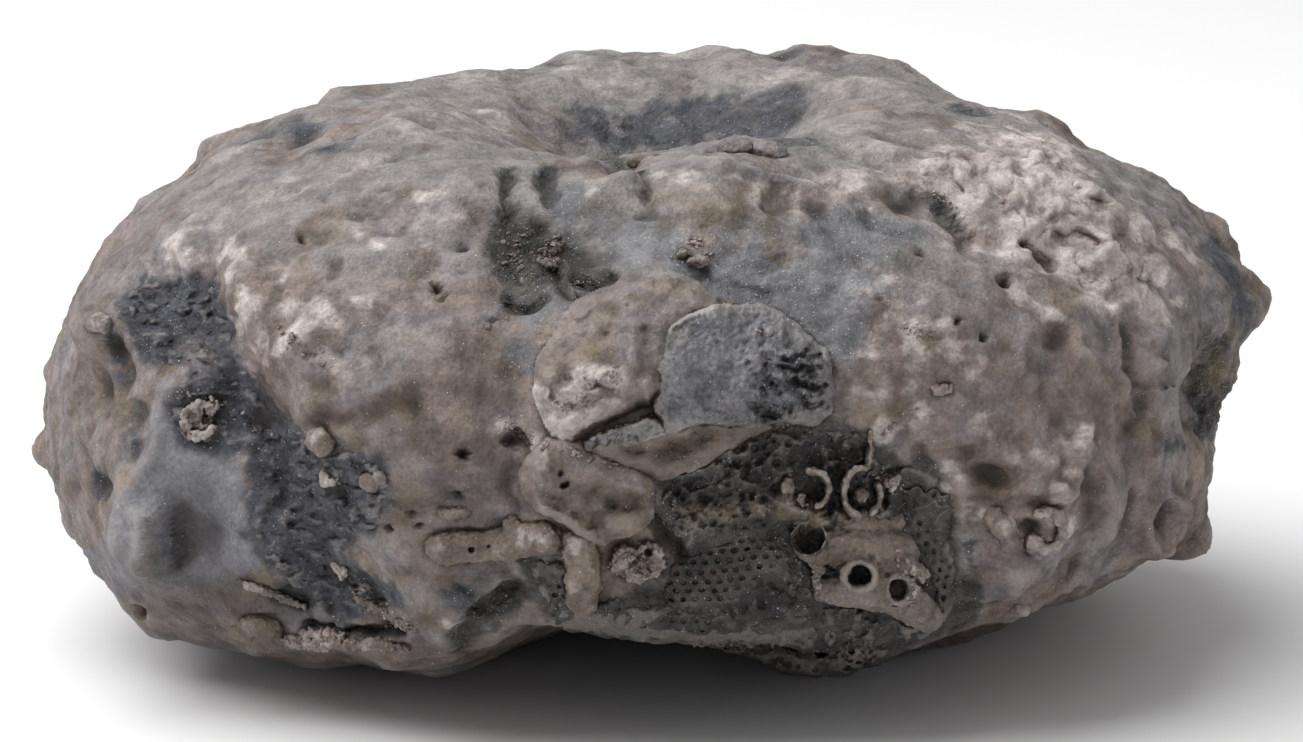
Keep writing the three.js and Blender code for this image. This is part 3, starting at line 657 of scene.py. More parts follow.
def hollowness(obj, rounds):
    """How far each vertex lies below the average of its surroundings, in mm."""
    edges = np.zeros(len(obj.data.edges) * 2, int)
    obj.data.edges.foreach_get("vertices", edges)
    a, b = edges.reshape(-1, 2).T
    here = places(obj)
    count = np.bincount(a, minlength=len(here)) + np.bincount(b, minlength=len(here))
    smooth = here
    for _ in range(rounds):
        total = [np.bincount(a, smooth[b, k], len(here)) + np.bincount(b, smooth[a, k], len(here))
                 for k in range(3)]
        smooth = np.stack(total, axis=1) / np.maximum(count, 1)[:, None]
    return ((smooth - here) * normals(obj)).sum(axis=1)


def hollow_tone(obj, rounds, depth=0.1):
    """0.5 on flat places, more in hollows and less on bumps; depth in mm sets how fast it changes."""
    return 0.5 + hollowness(obj, rounds) / depth


def spots(at, where, soft=0.15):
    """1 inside any of the round spots (u, w, radius), softly 0 outside."""
    total = np.zeros(len(at))
    for u, w, radius in where:
        gap = gap_to(at, u, w)
        total = np.maximum(total, smoothstep(radius + soft, radius - soft, gap))
    return total


# %% [markdown]
# The upper face has stains and painted shade of its own, given by x, y and a radius. All masks are
# then written on a piece at once, so that the crusts laid on the stone later can get them too.

# %% Stains, painted shade and regions on a piece
# Places on the upper face, as x, y and a radius, in mm. The dark ones are painted shade in the stem
# pit and behind the crest, with a few dark spots; the pale ones are stains.
TOP_SHADE_AND_STAINS = [
    (3.3, 3.4, 1.6), (1.4, 4.6, 1.4), (-0.2, 4.4, 1.4), (-1.8, 3.8, 1.2), (1.2, 2, 1.6), (-1.2, -6.6, 0.7),
    (3.8, -6.8, 0.8), (-11.7, -0.9, 1), (-10.1, -5, 0.7), (4.4, 9, 0.8), (-4.4, 8.6, 0.8), (10, 1.2, 1)]
TOP_PALE = [
    (-5.8, 0.6, 1.6), (-7.4, -1.7, 1.2), (-13.2, -1.5, 1.1), (-8.1, -4.7, 1.2), (-2.3, 7.2, 1.3),
    (4, 5.6, 1.2), (6.6, 3.4, 1.4), (5.8, -4.4, 1), (6.7, -7.3, 1), (-8.8, -7.6, 1), (-11.8, -7.6, 1.1),
    (8.6, -9.8, 1), (-6, 6, 1.2), (-13.5, 3, 1.2), (-4, 11.5, 1.4), (9.5, 8.5, 1.5), (-9.5, 9.5, 1.6),
    (13, 2, 1.3), (1, 10, 1.2)]


def stains(here, rows):
    """0 to 1 inside the round places of the upper face, with a wandering edge."""
    bent = here[:, :2] + 0.8 * wobble(here, 1.6, 3, 23)
    return spots(bent, rows, 0.9) * smoothstep(12, 14.5, here[:, 2])


def note_regions(obj, rounds=12):
    """Writes the masks of all regions and the hollows on a piece in its final place, in mm."""
    here = places(obj)
    on_top = smoothstep(12.5, 15.5, here[:, 2])
    patchy = fractal(here, 3.5, 3, 9)
    # Painted shade: the shaded places and the shade on the upper face take the dark colours of shale.
    dark = np.maximum(0.85 * strokes(here, PAINTED_SHADE_PLACES, 0.2, 36), 0.8 * stains(here, TOP_SHADE_AND_STAINS))
    left = mask(here, SHALE) * (1 - 0.5 * spots(drawn(here), [(-13.8, 8.7, 0.9)], 0.8))
    note(obj, "shale", np.maximum(left, dark))
    note(obj, "haze", mask(here, HAZE, 0.8, 0.6))
    # Painted sheen: the top face is paler and greyer in patches.
    note(obj, "top_sheen", 0.85 * on_top * smoothstep(-0.9, 0.2, patchy))
    tan = 0.5 * mask(here, CREST, 0.4)
    note(obj, "dust", mask(here, DUST, 0.9, 0.8) - tan)
    crumbly = mask(here, POPCORN, 1.1, 1.0) * np.clip(1.0 + 0.9 * fractal(here, 1.1, 4, 40), 0, 1.3)
    pale = np.maximum(strokes(here, CALCITE, 0.8), crumbly)
    note(obj, "calcite", np.maximum(pale, 0.5 * stains(here, TOP_PALE)))
    note(obj, "ochre", np.maximum(0.75 * mask(here, OCHRE, 0.9), tan))
    # The porous mask also carries the grubby hollows and their painted shade.
    note(obj, "porous", np.maximum(mask(here, POROUS), 0.9 * strokes(here, GRUBBY_AND_SHADED, 0.3, 46)))
    note(obj, "hollow", np.clip(hollow_tone(obj, rounds, 0.34), 0, 1))


note_regions(body)
print("regions noted on", len(settled), "vertices")

# %% [markdown]
# ## Building finishes from nodes
# Every finish here is a small network of nodes. Short helpers keep that readable: one adds a node and
# wires its inputs, and others mix two colours, do arithmetic, make a step or make cloudy noise.

# %% Node helpers
def paint(red, green, blue):
    """A colour given as on a colour card, 0 to 255, turned into the renderer's linear numbers."""
    return (*[((c / 255 + 0.055) / 1.055) ** 2.4 for c in (red, green, blue)], 1)


def wire(tree, socket, value):
    if isinstance(value, bpy.types.NodeSocket):
        tree.links.new(value, socket)
    else:
        socket.default_value = value


def node(tree, kind, inputs=None, **settings):
    made = tree.nodes.new(kind)
    for name, value in settings.items():
        setattr(made, name, value)
    for name, value in (inputs or {}).items():
        wire(tree, made.inputs[name], value)
    return made


def blend(tree, amount, first, second, way="MIX"):
    made = node(tree, "ShaderNodeMix", {0: amount, 6: first, 7: second}, data_type="RGBA", blend_type=way)
    return made.outputs[2]


def sum_of(tree, first, second, way="ADD"):
    return node(tree, "ShaderNodeMath", {0: first, 1: second}, operation=way).outputs[0]


def product(tree, first, second):
    return sum_of(tree, first, second, "MULTIPLY")


def between(tree, value, low, high):
    """0 below low, 1 above high and a soft step between them."""
    made = node(tree, "ShaderNodeMapRange", {"Value": value, "From Min": low, "From Max": high},
                interpolation_type="SMOOTHSTEP")
    return made.outputs["Result"]


def clouds(tree, where, size, detail=3.0, harshness=0.5):
    """Cloudy noise from 0 to 1, with blobs about as wide as size, in mm."""
    made = node(tree, "ShaderNodeTexNoise", {"Vector": where, "Scale": 1 / size, "Detail": detail,
                                             "Roughness": harshness})
    return made.outputs["Fac"]


def in_mm(tree):
    """The piece's own coordinates, in mm."""
    local = tree.nodes.new("ShaderNodeTexCoord").outputs["Object"]
    return node(tree, "ShaderNodeVectorMath", {0: local, "Scale": 1000.0}, operation="SCALE").outputs[0]


# %% [markdown]
# A fossil's surface has the same few effects everywhere: soft mottling, a fine grain, and tiny bright
# grains with their glints painted in as white specks. They are one node group, built once and placed
# in each finish.

# %% Node group: stone grain
def new_group(name, inputs, outputs):
    group = bpy.data.node_groups.new(name, "ShaderNodeTree")
    for label, value in inputs.items():
        socket = group.interface.new_socket(label, in_out="INPUT", socket_type="NodeSocketFloat")
        socket.default_value = value
    for label in outputs:
        group.interface.new_socket(label, in_out="OUTPUT", socket_type="NodeSocketFloat")
    return group, group.nodes.new("NodeGroupInput"), group.nodes.new("NodeGroupOutput")


tree, given, result = new_group(
    "stone_grain", {"Speck Amount": 0.2}, ["Hue", "Warmth", "Mottle", "Grain", "Veins", "Glint Specks", "Height"])
where = in_mm(tree)
bend = node(tree, "ShaderNodeTexNoise", {"Vector": where, "Scale": 0.6, "Detail": 2.0})
warped = node(tree, "ShaderNodeVectorMath", {0: bend.outputs["Color"], 1: (1.2, 1.2, 1.2), 2: where},
              operation="MULTIPLY_ADD").outputs[0]
fine = clouds(tree, where, 0.13, 4.0, 0.7)
middling = clouds(tree, where, 0.4, 4.0)
vein = clouds(tree, warped, 1.6, 2.0)
off_vein = node(tree, "ShaderNodeMath", {0: sum_of(tree, vein, 0.5, "SUBTRACT")}, operation="ABSOLUTE")
thin = between(tree, off_vein.outputs[0], 0.012, 0.002)
here_and_there = between(tree, clouds(tree, where, 2.2, 1.0), 0.52, 0.66)
veins = product(tree, thin, here_and_there)
cells = node(tree, "ShaderNodeTexVoronoi", {"Vector": where, "Scale": 15.0})
chance = node(tree, "ShaderNodeSeparateColor", {0: cells.outputs["Color"]})
reach = product(tree, chance.outputs[1], 0.22)
tiny = between(tree, cells.outputs["Distance"], sum_of(tree, reach, 0.1), reach)
chosen = sum_of(tree, chance.outputs[0], given.outputs["Speck Amount"], "LESS_THAN")
wire(tree, result.inputs["Hue"], clouds(tree, warped, 3.0, 4.0))
wire(tree, result.inputs["Warmth"], clouds(tree, warped, 1.7, 5.0))
wire(tree, result.inputs["Mottle"], clouds(tree, where, 1.1, 7.0, 0.66))
wire(tree, result.inputs["Grain"], fine)
wire(tree, result.inputs["Veins"], veins)
# Painted glints: each speck is brightened by its own random amount.
painted_glint = sum_of(tree, product(tree, chance.outputs[2], chance.outputs[2]), 0.25)
wire(tree, result.inputs["Glint Specks"], product(tree, product(tree, tiny, chosen), painted_glint))
low_relief = product(tree, fine, 0.08)
height = sum_of(tree, low_relief, product(tree, middling, 0.15))
wire(tree, result.inputs["Height"], height)
stone_grain = tree
print("node group:", stone_grain.name, "with", len(stone_grain.nodes), "nodes")

# %% [markdown]
# ## The stone finish
# The body and all crusts on it share this finish. It starts as mottled brown-grey crust, and each
# region's attribute brings its own pair of colours in. Noise added to an attribute before the step
# makes the edge of a region as fine as the grain of the stone. Then hollows are darkened with mud and
# painted shade, rubbed places are made paler, and painted shade with grime, and bright specks with
# painted glints, come last.
# region's attribute brings its own pair of colours in. Noise added to an attribute before the step
# makes the edge of a region as fine as the grain of the stone. Then hollows are darkened, rubbed places
# are made paler, and grime and bright specks come last.

# %% Stone finish
# Dark and pale colour of the three kinds of crust.
BROWN_CRUST = paint(100, 86, 78), paint(160, 144, 133)
GREY_CRUST = paint(108, 101, 102), paint(164, 156, 156)
OLIVE_CRUST = paint(94, 82, 68), paint(148, 134, 117)
VEIN = paint(172, 166, 160)
GRAIN_SHADE, WHITE = paint(96, 96, 96), paint(255, 255, 255)
STONE_ROUGHNESS = 0.62
# Colour of mud and painted shade in the hollows.
MUD_AND_SHADE = paint(46, 39, 34)
RUBBED = paint(176, 168, 163)
# Tint of painted shade and grime in sheltered, low and creased places.
SHADE_AND_GRIME_TINT = paint(150, 136, 126)
# White of the bright specks and their painted glints.
GLINT_WHITE = paint(240, 240, 244)


def attribute(tree, name):
    return node(tree, "ShaderNodeAttribute", attribute_name=name).outputs["Fac"]


def region_edge(tree, name, raggedness):
    """A region's mask with a finely ragged edge, which is softer for calcite."""
    shaken = sum_of(tree, attribute(tree, name), sum_of(tree, raggedness, 0.5, "SUBTRACT"))
    return between(tree, shaken, 0.05, 1.15) if name == "calcite" else between(tree, shaken, 0.2, 0.8)


def stone_colours(tree, grain, regions):
    """Crust colours with each region's dark and pale colour blended in by its mask."""
    mottle = between(tree, grain.outputs["Mottle"], 0.3, 0.7)
    hue = between(tree, grain.outputs["Hue"], 0.4, 0.6)
    brown = blend(tree, mottle, *BROWN_CRUST)
    grey = blend(tree, mottle, *GREY_CRUST)
    colour = blend(tree, hue, brown, grey)
    olive = blend(tree, mottle, *OLIVE_CRUST)
    colour = blend(tree, between(tree, grain.outputs["Warmth"], 0.54, 0.74), colour, olive)
    ragged = clouds(tree, in_mm(tree), 0.5, 5.0)
    for name, dark, pale in regions:
        own = blend(tree, mottle, paint(*dark), paint(*pale))
        colour = blend(tree, region_edge(tree, name, ragged), colour, own)
    return blend(tree, product(tree, grain.outputs["Veins"], 0.2), colour, VEIN)


# Each region's name, dark colour and pale colour.
REGIONS = [
    # The first row is a painted sheen on the top face, paler and greyer.
    ("top_sheen", (120, 115, 113), (166, 160, 157)),
    ("haze", (114, 114, 120), (150, 149, 155)),
    ("dust", (104, 104, 108), (144, 144, 148)),
    ("shale", (34, 36, 42), (94, 96, 105)),
    ("porous", (38, 37, 37), (94, 89, 86)),
    ("ochre", (102, 87, 69), (152, 136, 115)),
    ("calcite", (156, 142, 135), (240, 230, 225)),
]


def finish(name, roughness):
    """A new finish, with its tree of nodes and its shader."""
    made = bpy.data.materials.new(name)
    made.use_nodes = True
    shader = made.node_tree.nodes["Principled BSDF"]
    shader.inputs["Roughness"].default_value = roughness
    return made, made.node_tree, shader


def stone_finish(name, regions, speck_amount=0.05):
    made, tree, shader = finish(name, STONE_ROUGHNESS)
    grain = node(tree, "ShaderNodeGroup", node_tree=stone_grain)
    rocky = sum_of(tree, attribute(tree, "shale"), attribute(tree, "porous"))
    dusty = sum_of(tree, attribute(tree, "dust"), product(tree, rocky, 0.4))
    wire(tree, grain.inputs["Speck Amount"], sum_of(tree, product(tree, dusty, 0.5), speck_amount))
    colour = stone_colours(tree, grain, regions)
    shade = blend(tree, between(tree, grain.outputs["Grain"], 0.2, 0.8), GRAIN_SHADE, WHITE)
    colour = blend(tree, 0.55, colour, shade, "MULTIPLY")
    hollow = attribute(tree, "hollow")
    clean = sum_of(tree, 1.0, product(tree, attribute(tree, "calcite"), 0.75), "SUBTRACT")
    # Mud and painted shade darken the hollows; calcite is darkened less than the rest.
    mud_and_shade = product(tree, between(tree, hollow, 0.52, 1.0), clean)
    wear = between(tree, hollow, 0.42, -0.3)
    colour = blend(tree, product(tree, mud_and_shade, 0.8), colour, MUD_AND_SHADE)
    colour = blend(tree, product(tree, wear, 0.5), colour, RUBBED)
    # Painted shade and grime: from shelter, from height and along creases.
    shade_and_grime = attribute(tree, "shade_and_grime")
    colour = blend(tree, shade_and_grime, colour, blend(tree, 1.0, colour, SHADE_AND_GRIME_TINT, "MULTIPLY"))
    # Bright specks, with painted glints.
    colour = blend(tree, product(tree, grain.outputs["Glint Specks"], 0.9), colour, GLINT_WHITE)
    wire(tree, shader.inputs["Base Color"], colour)
    flakes = product(tree, rocky, clouds(tree, in_mm(tree), 0.3, 5.0))
    height = sum_of(tree, grain.outputs["Height"], product(tree, flakes, 0.3))
    bump = node(tree, "ShaderNodeBump", {"Height": height, "Distance": MM, "Strength": 0.9})
    wire(tree, shader.inputs["Normal"], bump.outputs[0])
    return made


stone = stone_finish("stone", REGIONS)
print("finish:", stone.name)

# %% [markdown]
# A finished piece is kept with a search tree of its faces, so that later pieces can be set on it and
# the painted shade and grime can find what shelters it.

# %% Keeping a finished piece
RAY_START, RAY_LENGTH = 40, 55
kept = []


def keep(piece, its_finish):
    """Scales a piece to metres in its mesh, gives it its finish and ties it to the stone."""
    kept.append((piece, tree_of(piece)))
    piece.data.transform(Matrix.Scale(MM, 4))
    piece.data.materials.clear()
    piece.data.materials.append(its_finish)
    piece.data.shade_smooth()
    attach(piece, "root")
    print(piece.name + ":", len(piece.data.polygons), "faces")


def front_at(u, w):
    """The foremost point of all pieces so far, behind a place on the drawing."""
    start = Vector(u * ACROSS + w * UP + RAY_START * OUT)
    hits = [tree.ray_cast(start, Vector(-OUT)) for _, tree in kept]
    reached = [(hit[3], tuple(hit[0])) for hit in hits if hit[0]]
    return np.array(min(reached)[1] if reached else point_at(u, w))


keep(body, stone)
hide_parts("crinoid_fossil")

# %% [markdown]
# ## Crusts laid over the stone
# Thin plates, shell and corals grew on the cup or were cemented to it. A crust like that could be
# sculpted, but here it is laid like a cloth: a flat grid is cut to its outline on the drawing of the
# front, its height is worked out over the flat grid, and then it is dropped onto the stone along the
# line of sight. Its border is drawn into the stone and closed there.

# %% Laying a crust
def stone_at(at):
    """The points of the stone behind places on the drawing, and the ways outwards there."""
    starts = at @ np.stack([ACROSS, UP]) + RAY_START * OUT
    found = []
    for start in starts:
        hit = body_tree.ray_cast(Vector(start), Vector(-OUT))[0]
        found.append(hit or body_tree.find_nearest(Vector(start - RAY_LENGTH * OUT))[0])
    found = np.array(found)
    return found, unit((found - CUP_MIDDLE) / CUP_HALF ** 2)


def flat_sheet(name, outline, step):
    """A flat grid on the drawing, cut to an outline, with faces about as long as step."""
    corners = np.array(outline)
    low, high = corners.min(axis=0), corners.max(axis=0)
    across, up = np.ceil((high - low) / step).astype(int)
    deselect_all()
    bpy.ops.mesh.primitive_grid_add(x_subdivisions=across, y_subdivisions=up, size=1)
    sheet = bpy.context.object
    sheet.name = name
    flat = places(sheet)
    flat[:, :2] = (low + high) / 2 + flat[:, :2] * (high - low)
    set_places(sheet, flat)
    cut_to(sheet, outline)
    return sheet


def cut_to(sheet, outline):
    """Deletes the faces of a flat sheet that lie outside an outline."""
    middles = numbers(sheet.data.polygons, "center")[:, :2]
    select_faces(sheet, depth_inside(middles, outline) < 0)
    bpy.ops.mesh.delete(type="FACE")
    mode("OBJECT")


SINK = 0.6


def lay(sheet):
    """Drops a flat sheet onto the stone, then draws its border inwards and closes it."""
    flat = places(sheet)
    away = stone_at(flat[:, :2])[1]
    # A raised point is seen higher or lower than its foot, so the foot is moved the other way first.
    foot = flat[:, :2] - np.clip(drawn(away * flat[:, 2:]), -0.5, 0.5)
    found, away = stone_at(foot)
    set_places(sheet, found + away * flat[:, 2:])
    mode("EDIT")
    bpy.ops.mesh.select_mode(type="EDGE")
    bpy.ops.mesh.select_all(action="DESELECT")
    bpy.ops.mesh.select_non_manifold(use_wire=False, use_multi_face=False, use_non_contiguous=False,
                                     use_verts=False)
    bpy.ops.mesh.extrude_edges_move()
    mode("OBJECT")
    chosen = np.zeros(len(sheet.data.vertices), bool)
    sheet.data.vertices.foreach_get("select", chosen)
    points = places(sheet)
    away = unit((points[chosen] - CUP_MIDDLE) / CUP_HALF ** 2)
    middle = points[chosen].mean(axis=0)
    points[chosen] = 0.9 * points[chosen] + 0.1 * middle - SINK * away
    set_places(sheet, points)
    mode("EDIT")
    bpy.ops.mesh.edge_face_add()
    mode("OBJECT")


def crust(name, outline, step, shape, its_finish=None, ragged=0.15, seed=1, **notes):
    """A crust whose height over the stone is shape(places on the drawing, depth inside, noise place)."""
    sheet = flat_sheet(name, outline, step)
    flat = places(sheet)
    depth = depth_inside(flat[:, :2], outline) + ragged * fractal(flat, 0.7, 3, seed)
    flat[:, 2] = shape(flat[:, :2], depth, flat)
    set_places(sheet, flat)
    lay(sheet)
    note_regions(sheet, rounds=int(12 * (0.127 / step) ** 2))
    for label, values in notes.items():
        sheet.data.attributes.remove(sheet.data.attributes[label])
        note(sheet, label, values(drawn(places(sheet)), places(sheet)))
    keep(sheet, its_finish or stone)


def plateau(depth, edge, height, sunk=0.2):
    """A flat height with a rounded edge that dives under the stone's surface."""
    t = np.clip(depth / edge, 0, 1)
    return (height + sunk) * np.sqrt(1 - (1 - t) ** 2) - sunk


# %% [markdown]
# ## Shale on the left
# Two patches of dark shale still cling to the left side. They break into small flakes, so their
# height is a billowy noise with sharp creases, stretched along the bedding.

# %% Shale patches
def flaky(at, depth, flat):
    bedding = flat * np.array([1, 1.7, 1])
    flakes = 0.34 * (billow(bedding, 0.75, 4, 11) - 0.55) + 0.12 * fractal(bedding, 0.3, 2, 12)
    return plateau(depth, 0.5, 0.0, 0.35) + flakes * smoothstep(0, 0.4, depth) + 0.06


for index, outline in enumerate(SHALE):
    crust(f"shale_patch_{index + 1}", outline, 0.06, flaky, ragged=0.3, seed=20 + index)

# %% [markdown]
# ## The popcorn calcite
# On the right shoulder the crust is pale calcite in rounded lumps, like popcorn. Larger hollows
# between them are stained brown.

# %% Popcorn calcite
POPCORN_MARKS = [mark((u, w), spread, -0.3) for u, w, spread in [
    (10.3, 14, 0.4), (12.2, 14.2, 0.4), (10.4, 12.8, 0.3), (13.1, 13.5, 0.3), (14.1, 13.2, 0.3),
    (14.3, 11.9, 0.35), (12.2, 12.1, 0.55)]]
POPCORN_MARKS += [mark((u, w), 0.35, 0.22) for u, w in [
    (10, 15.1), (10.6, 14.6), (11.8, 15.2), (12.4, 15), (13.3, 13.9), (11.2, 13.7), (12.9, 12.8),
    (13.6, 12.3), (15, 13.2), (14.8, 11), (11.4, 12.7), (9.8, 13.6), (9.4, 14.6)]]


def popcorn_shape(at, depth, flat):
    lumps = 0.5 * (billow(flat, 0.9, 2, 14) - 0.4) + 0.1 * (billow(flat, 0.3, 2, 15) - 0.5)
    edge = smoothstep(0, 0.8, depth)
    return (lumps + pressed(at, POPCORN_MARKS)) * edge + 0.1 * edge - 0.25 * (1 - edge)


crust("popcorn_calcite", POPCORN[0], 0.075, popcorn_shape, ragged=0.4, seed=23)

# %% [markdown]
# ## The plate in the middle
# A rounded plate of crust sits in the middle of the front. Its upper part is smooth and runs out into
# the stone, with a few pits. Its lower part is pinkish calcite in small rings, ridges and lumps.

# %% Middle plate
MIDDLE_PLATE = [
    (-1.7, 10.75), (-2.4, 10.4), (-3.1, 9.5), (-3.6, 8.6), (-3.65, 7.7), (-3.3, 6.9), (-2.95, 6.3),
    (-2.2, 5.95), (-1, 6), (0.5, 6.4), (1.6, 7.6), (1.6, 9.6), (1.8, 10.3), (1.2, 11), (0.3, 11.3),
    (-0.9, 11.2)]
PLATE_MARKS = [mark(*row) for row in [
    ((-1.47, 9.45), 0.16, -0.18), ((-0.41, 9.56), 0.15, -0.18), ((-0.06, 10.9), 0.12, -0.1),
    ((-0.88, 10.27), 0.08, -0.12), ([(-2.3, 9.9), (-2.1, 10), (-2, 10.1)], 0.07, 0.14),
    ((-3.12, 8.25), 0.3, 0.3), ([(-3.6, 8), (-3.1, 7.85), (-2.6, 8.1)], 0.15, -0.15),
    ((-1.95, 8.9), 0.5, -0.14), ([(-0.75, 9.3), (-0.7, 8.6), (-0.75, 7.9)], 0.25, 0.22),
    ([(-0.32, 8.1), (-0.3, 7.65)], 0.2, 0.5),
    ([(-2, 6.4), (-1.2, 6.85), (-0.5, 7.2), (-0.15, 7.3)], 0.42, -0.8),
    ([(-3.15, 7.8), (-3.2, 7.6), (-2.95, 7.42), (-2.67, 7.25)], 0.09, 0.3),
    ([(-2.4, 7.5), (-2, 7.75), (-1.7, 7.82)], 0.08, 0.25), ([(-1.6, 7.6), (-1.1, 7.5)], 0.1, 0.2),
    ((-2.53, 6.95), 0.36, 0.4), ([(-1.7, 7.2), (-1, 7.5)], 0.3, 0.25),
    ([(-2.95, 9.6), (-3.35, 8.9)], 0.25, 0.15), ((-3.1, 6.8), 0.25, 0.25),
    ([(-2.55, 8.9), (-2.6, 8.3), (-2.35, 7.9)], 0.12, -0.08)]]
PLATE_BROWN = [(-1.95, 8.95, 0.35), (-1.5, 9.5, 0.1), (-0.4, 9.55, 0.12), (-3.1, 8.3, 0.25),
               (-0.3, 7.8, 0.2), (-2.6, 6.8, 0.35)]
CALCITE_WHORLS = [(-1.99, 8.1, 0.2), (-1.42, 8.2, 0.3), (-1.65, 7.75, 0.16), (-2.85, 7.45, 0.15)]


def lower_calcite(at):
    """1 on the lower part of the plate, softly 0 above it."""
    edge = depth_inside(at, [(-3.9, 8.0), (-2.9, 8.1), (-2.2, 8.5), (-1.0, 8.5), (-0.9, 7.8), (-0.9, 7.3),
                             (-2, 6.2), (-2.9, 6), (-3.6, 6.8)])
    return smoothstep(-0.3, 0.3, edge)


def whorls(at, rows):
    """Small raised rosettes: a bump with a groove around its middle, as u, w and a radius."""
    total = np.zeros(len(at))
    for u, w, radius in rows:
        gap = gap_to(at, u, w)
        total += 0.2 * smoothstep(1.3 * radius, 0.6 * radius, gap)
        total -= 0.08 * np.exp(-((gap - 0.45 * radius) / 0.06) ** 2)
    return total


def middle_plate_shape(at, depth, flat):
    runs_out = smoothstep(9.2, 11.0, at[:, 1] + 0.3 * at[:, 0])
    bent = at + 0.05 * wobble(flat, 0.3, 2, 34)
    grown = plateau(depth, 0.55, 0.5) * (1 - 0.65 * runs_out) + 0.25 * smoothstep(0, 1.3, depth)
    grown += pressed(bent, PLATE_MARKS)
    grown += 0.1 * fractal(flat, 1.3, 3, 31) + 0.03 * fractal(flat, 0.3, 3, 32)
    sugary = lower_calcite(at)
    grown += sugary * 0.1 * (billow(flat, 0.35, 4, 33) - 0.45) + whorls(bent, CALCITE_WHORLS)
    return grown


def plate_calcite(at, here):
    patchy = np.clip(1.2 + 0.6 * fractal(here, 0.6, 4, 36), 0, 1.3)
    return np.maximum(spots(at, CALCITE_WHORLS, 0.1), lower_calcite(at) * patchy)


crust("middle_plate", MIDDLE_PLATE, 0.045, middle_plate_shape, seed=25, calcite=plate_calcite,
      dust=lambda at, here: 0.35 * smoothstep(9.6, 11.2, at[:, 1]),
      ochre=lambda at, here: 0.8 * spots(at, PLATE_BROWN, 0.25))

# %% [markdown]
# ## The broken shell
# A grey bit of shell lies over the plate. Its face is granular, with a pale raised rim at the upper
# left. Its right end is broken and chunky, with dark gaps that are also darkened with painted shade.
# Below it a thin blade of the same shell sticks out.

# %% Shell fragment
SHELL = [
    (-0.12, 8.4), (0, 9.2), (0.34, 9.75), (0.9, 10.05), (1.5, 10.28), (2.1, 10.35), (2.9, 10.38),
    (3.6, 10.05), (4.3, 9.55), (4.9, 9.05), (5.05, 8.3), (5, 7.1), (4.6, 6.75), (3.6, 6.85), (2.6, 6.7),
    (1.6, 6.8), (0.7, 6.7), (0.1, 6.5), (-0.15, 7.4)]
BROKEN_END = [
    (2.6, 8.9), (3.4, 9.2), (4.2, 9.7), (5.6, 9.6), (5.6, 6.4), (3, 6.4), (2.5, 7.3), (2.3, 8.1)]
SHELL_RIM = [
    (-0.12, 8.4), (0.02, 9.2), (0.38, 9.7), (0.92, 9.98), (1.5, 10.2), (2.1, 10.27), (2.9, 10.28),
    (3.6, 9.95)]
CELL_PITS = [mark(*row) for row in [
    ((4.4, 8.35), 0.6, -0.22), ([(3.7, 8.85), (4.2, 8.95), (4.6, 8.85)], 0.12, -0.22),
    ([(3.6, 8.45), (4.1, 8.5), (4.6, 8.4)], 0.1, -0.2),
    ([(3.9, 8.05), (4.4, 7.9), (4.8, 7.95)], 0.12, -0.22), ([(4.2, 7.5), (4.7, 7.45)], 0.12, -0.2),
    ([(2.8, 7.3), (3.1, 7.15), (3.3, 7.1)], 0.14, -0.2)]]
# Dark places on the shell: painted shade over the cavities of the broken end.
SHELL_DARK_AND_SHADE = [(4.5, 8.3, 1), (4.5, 7.6, 0.5), (3.5, 8.1, 0.4), (3.05, 7.2, 0.3)]


def broken(at):
    """1 at the broken end of the shell, softly 0 elsewhere."""
    return smoothstep(-0.3, 0.6, depth_inside(at, BROKEN_END))


def on_rim(at):
    """1 on the raised rim of the shell, softly 0 beside it and towards the right."""
    strength = smoothstep(4.0, 1.0, at[:, 0])
    return strength * np.exp(-(gap_to_path(at, [np.array(p) for p in SHELL_RIM]) / 0.08) ** 2)


def shell_shape(at, depth, flat):
    """A tilted flake with a thin rim, granular all over and chunky with dark gaps at its broken end."""
    tilt = 0.85 + 0.1 * np.clip(at[:, 0], 0, 5) - 0.06 * np.abs(at[:, 1] - 8.2)
    grown = plateau(depth, 0.2 + 0.5 * smoothstep(3.8, 4.8, at[:, 0]), 1.0) * tilt + 0.14 * on_rim(at)
    grown += 0.08 * fractal(flat, 0.8, 4, 41) + 0.13 * (billow(flat, 0.2, 3, 42) - 0.5)
    rough = broken(at)
    bent = at + 0.2 * wobble(flat, 0.45, 3, 46)
    blocks = billow(flat * (1, 1.3, 1), 0.6, 3, 43)
    chunks = 0.3 * (blocks - 0.45) + pressed(bent, CELL_PITS)
    grown += rough * chunks + 0.12 * smoothstep(1.2, 3, at[:, 0]) * fractal(flat, 0.35, 3, 44)
    return grown


shell_grey = stone_finish("shell_grey", [
    ("haze", (84, 83, 87), (152, 151, 156)),
    ("shale", (46, 47, 52), (116, 117, 124)),
    ("calcite", (150, 143, 138), (206, 200, 198))], 0.25)


def everywhere(at, here):
    """1 all over a piece."""
    return np.ones(len(at))


def shell_dark_and_shade(at, here):
    patchy = smoothstep(-0.2, 0.3, fractal(here, 0.7, 3, 61))
    # Painted shade over the cavities, and dark shell at the broken end.
    return 0.9 * spots(at, SHELL_DARK_AND_SHADE, 0.4) + 0.45 * broken(at) * patchy


def shell_pale(at, here):
    grains = 0.6 * smoothstep(0.8, 3, at[:, 0]) * smoothstep(0.2, 0.55, fractal(here, 0.3, 3, 45))
    return np.maximum(0.8 * np.clip(on_rim(at) * 1.5, 0, 1), grains)


crust("shell_fragment", SHELL, 0.04, shell_shape, shell_grey, ragged=0.12, seed=26,
      haze=everywhere, shale=shell_dark_and_shade, calcite=shell_pale)

# %% [markdown]
# The helpers below stand small pieces on the stone, give them finer faces and roughen them.

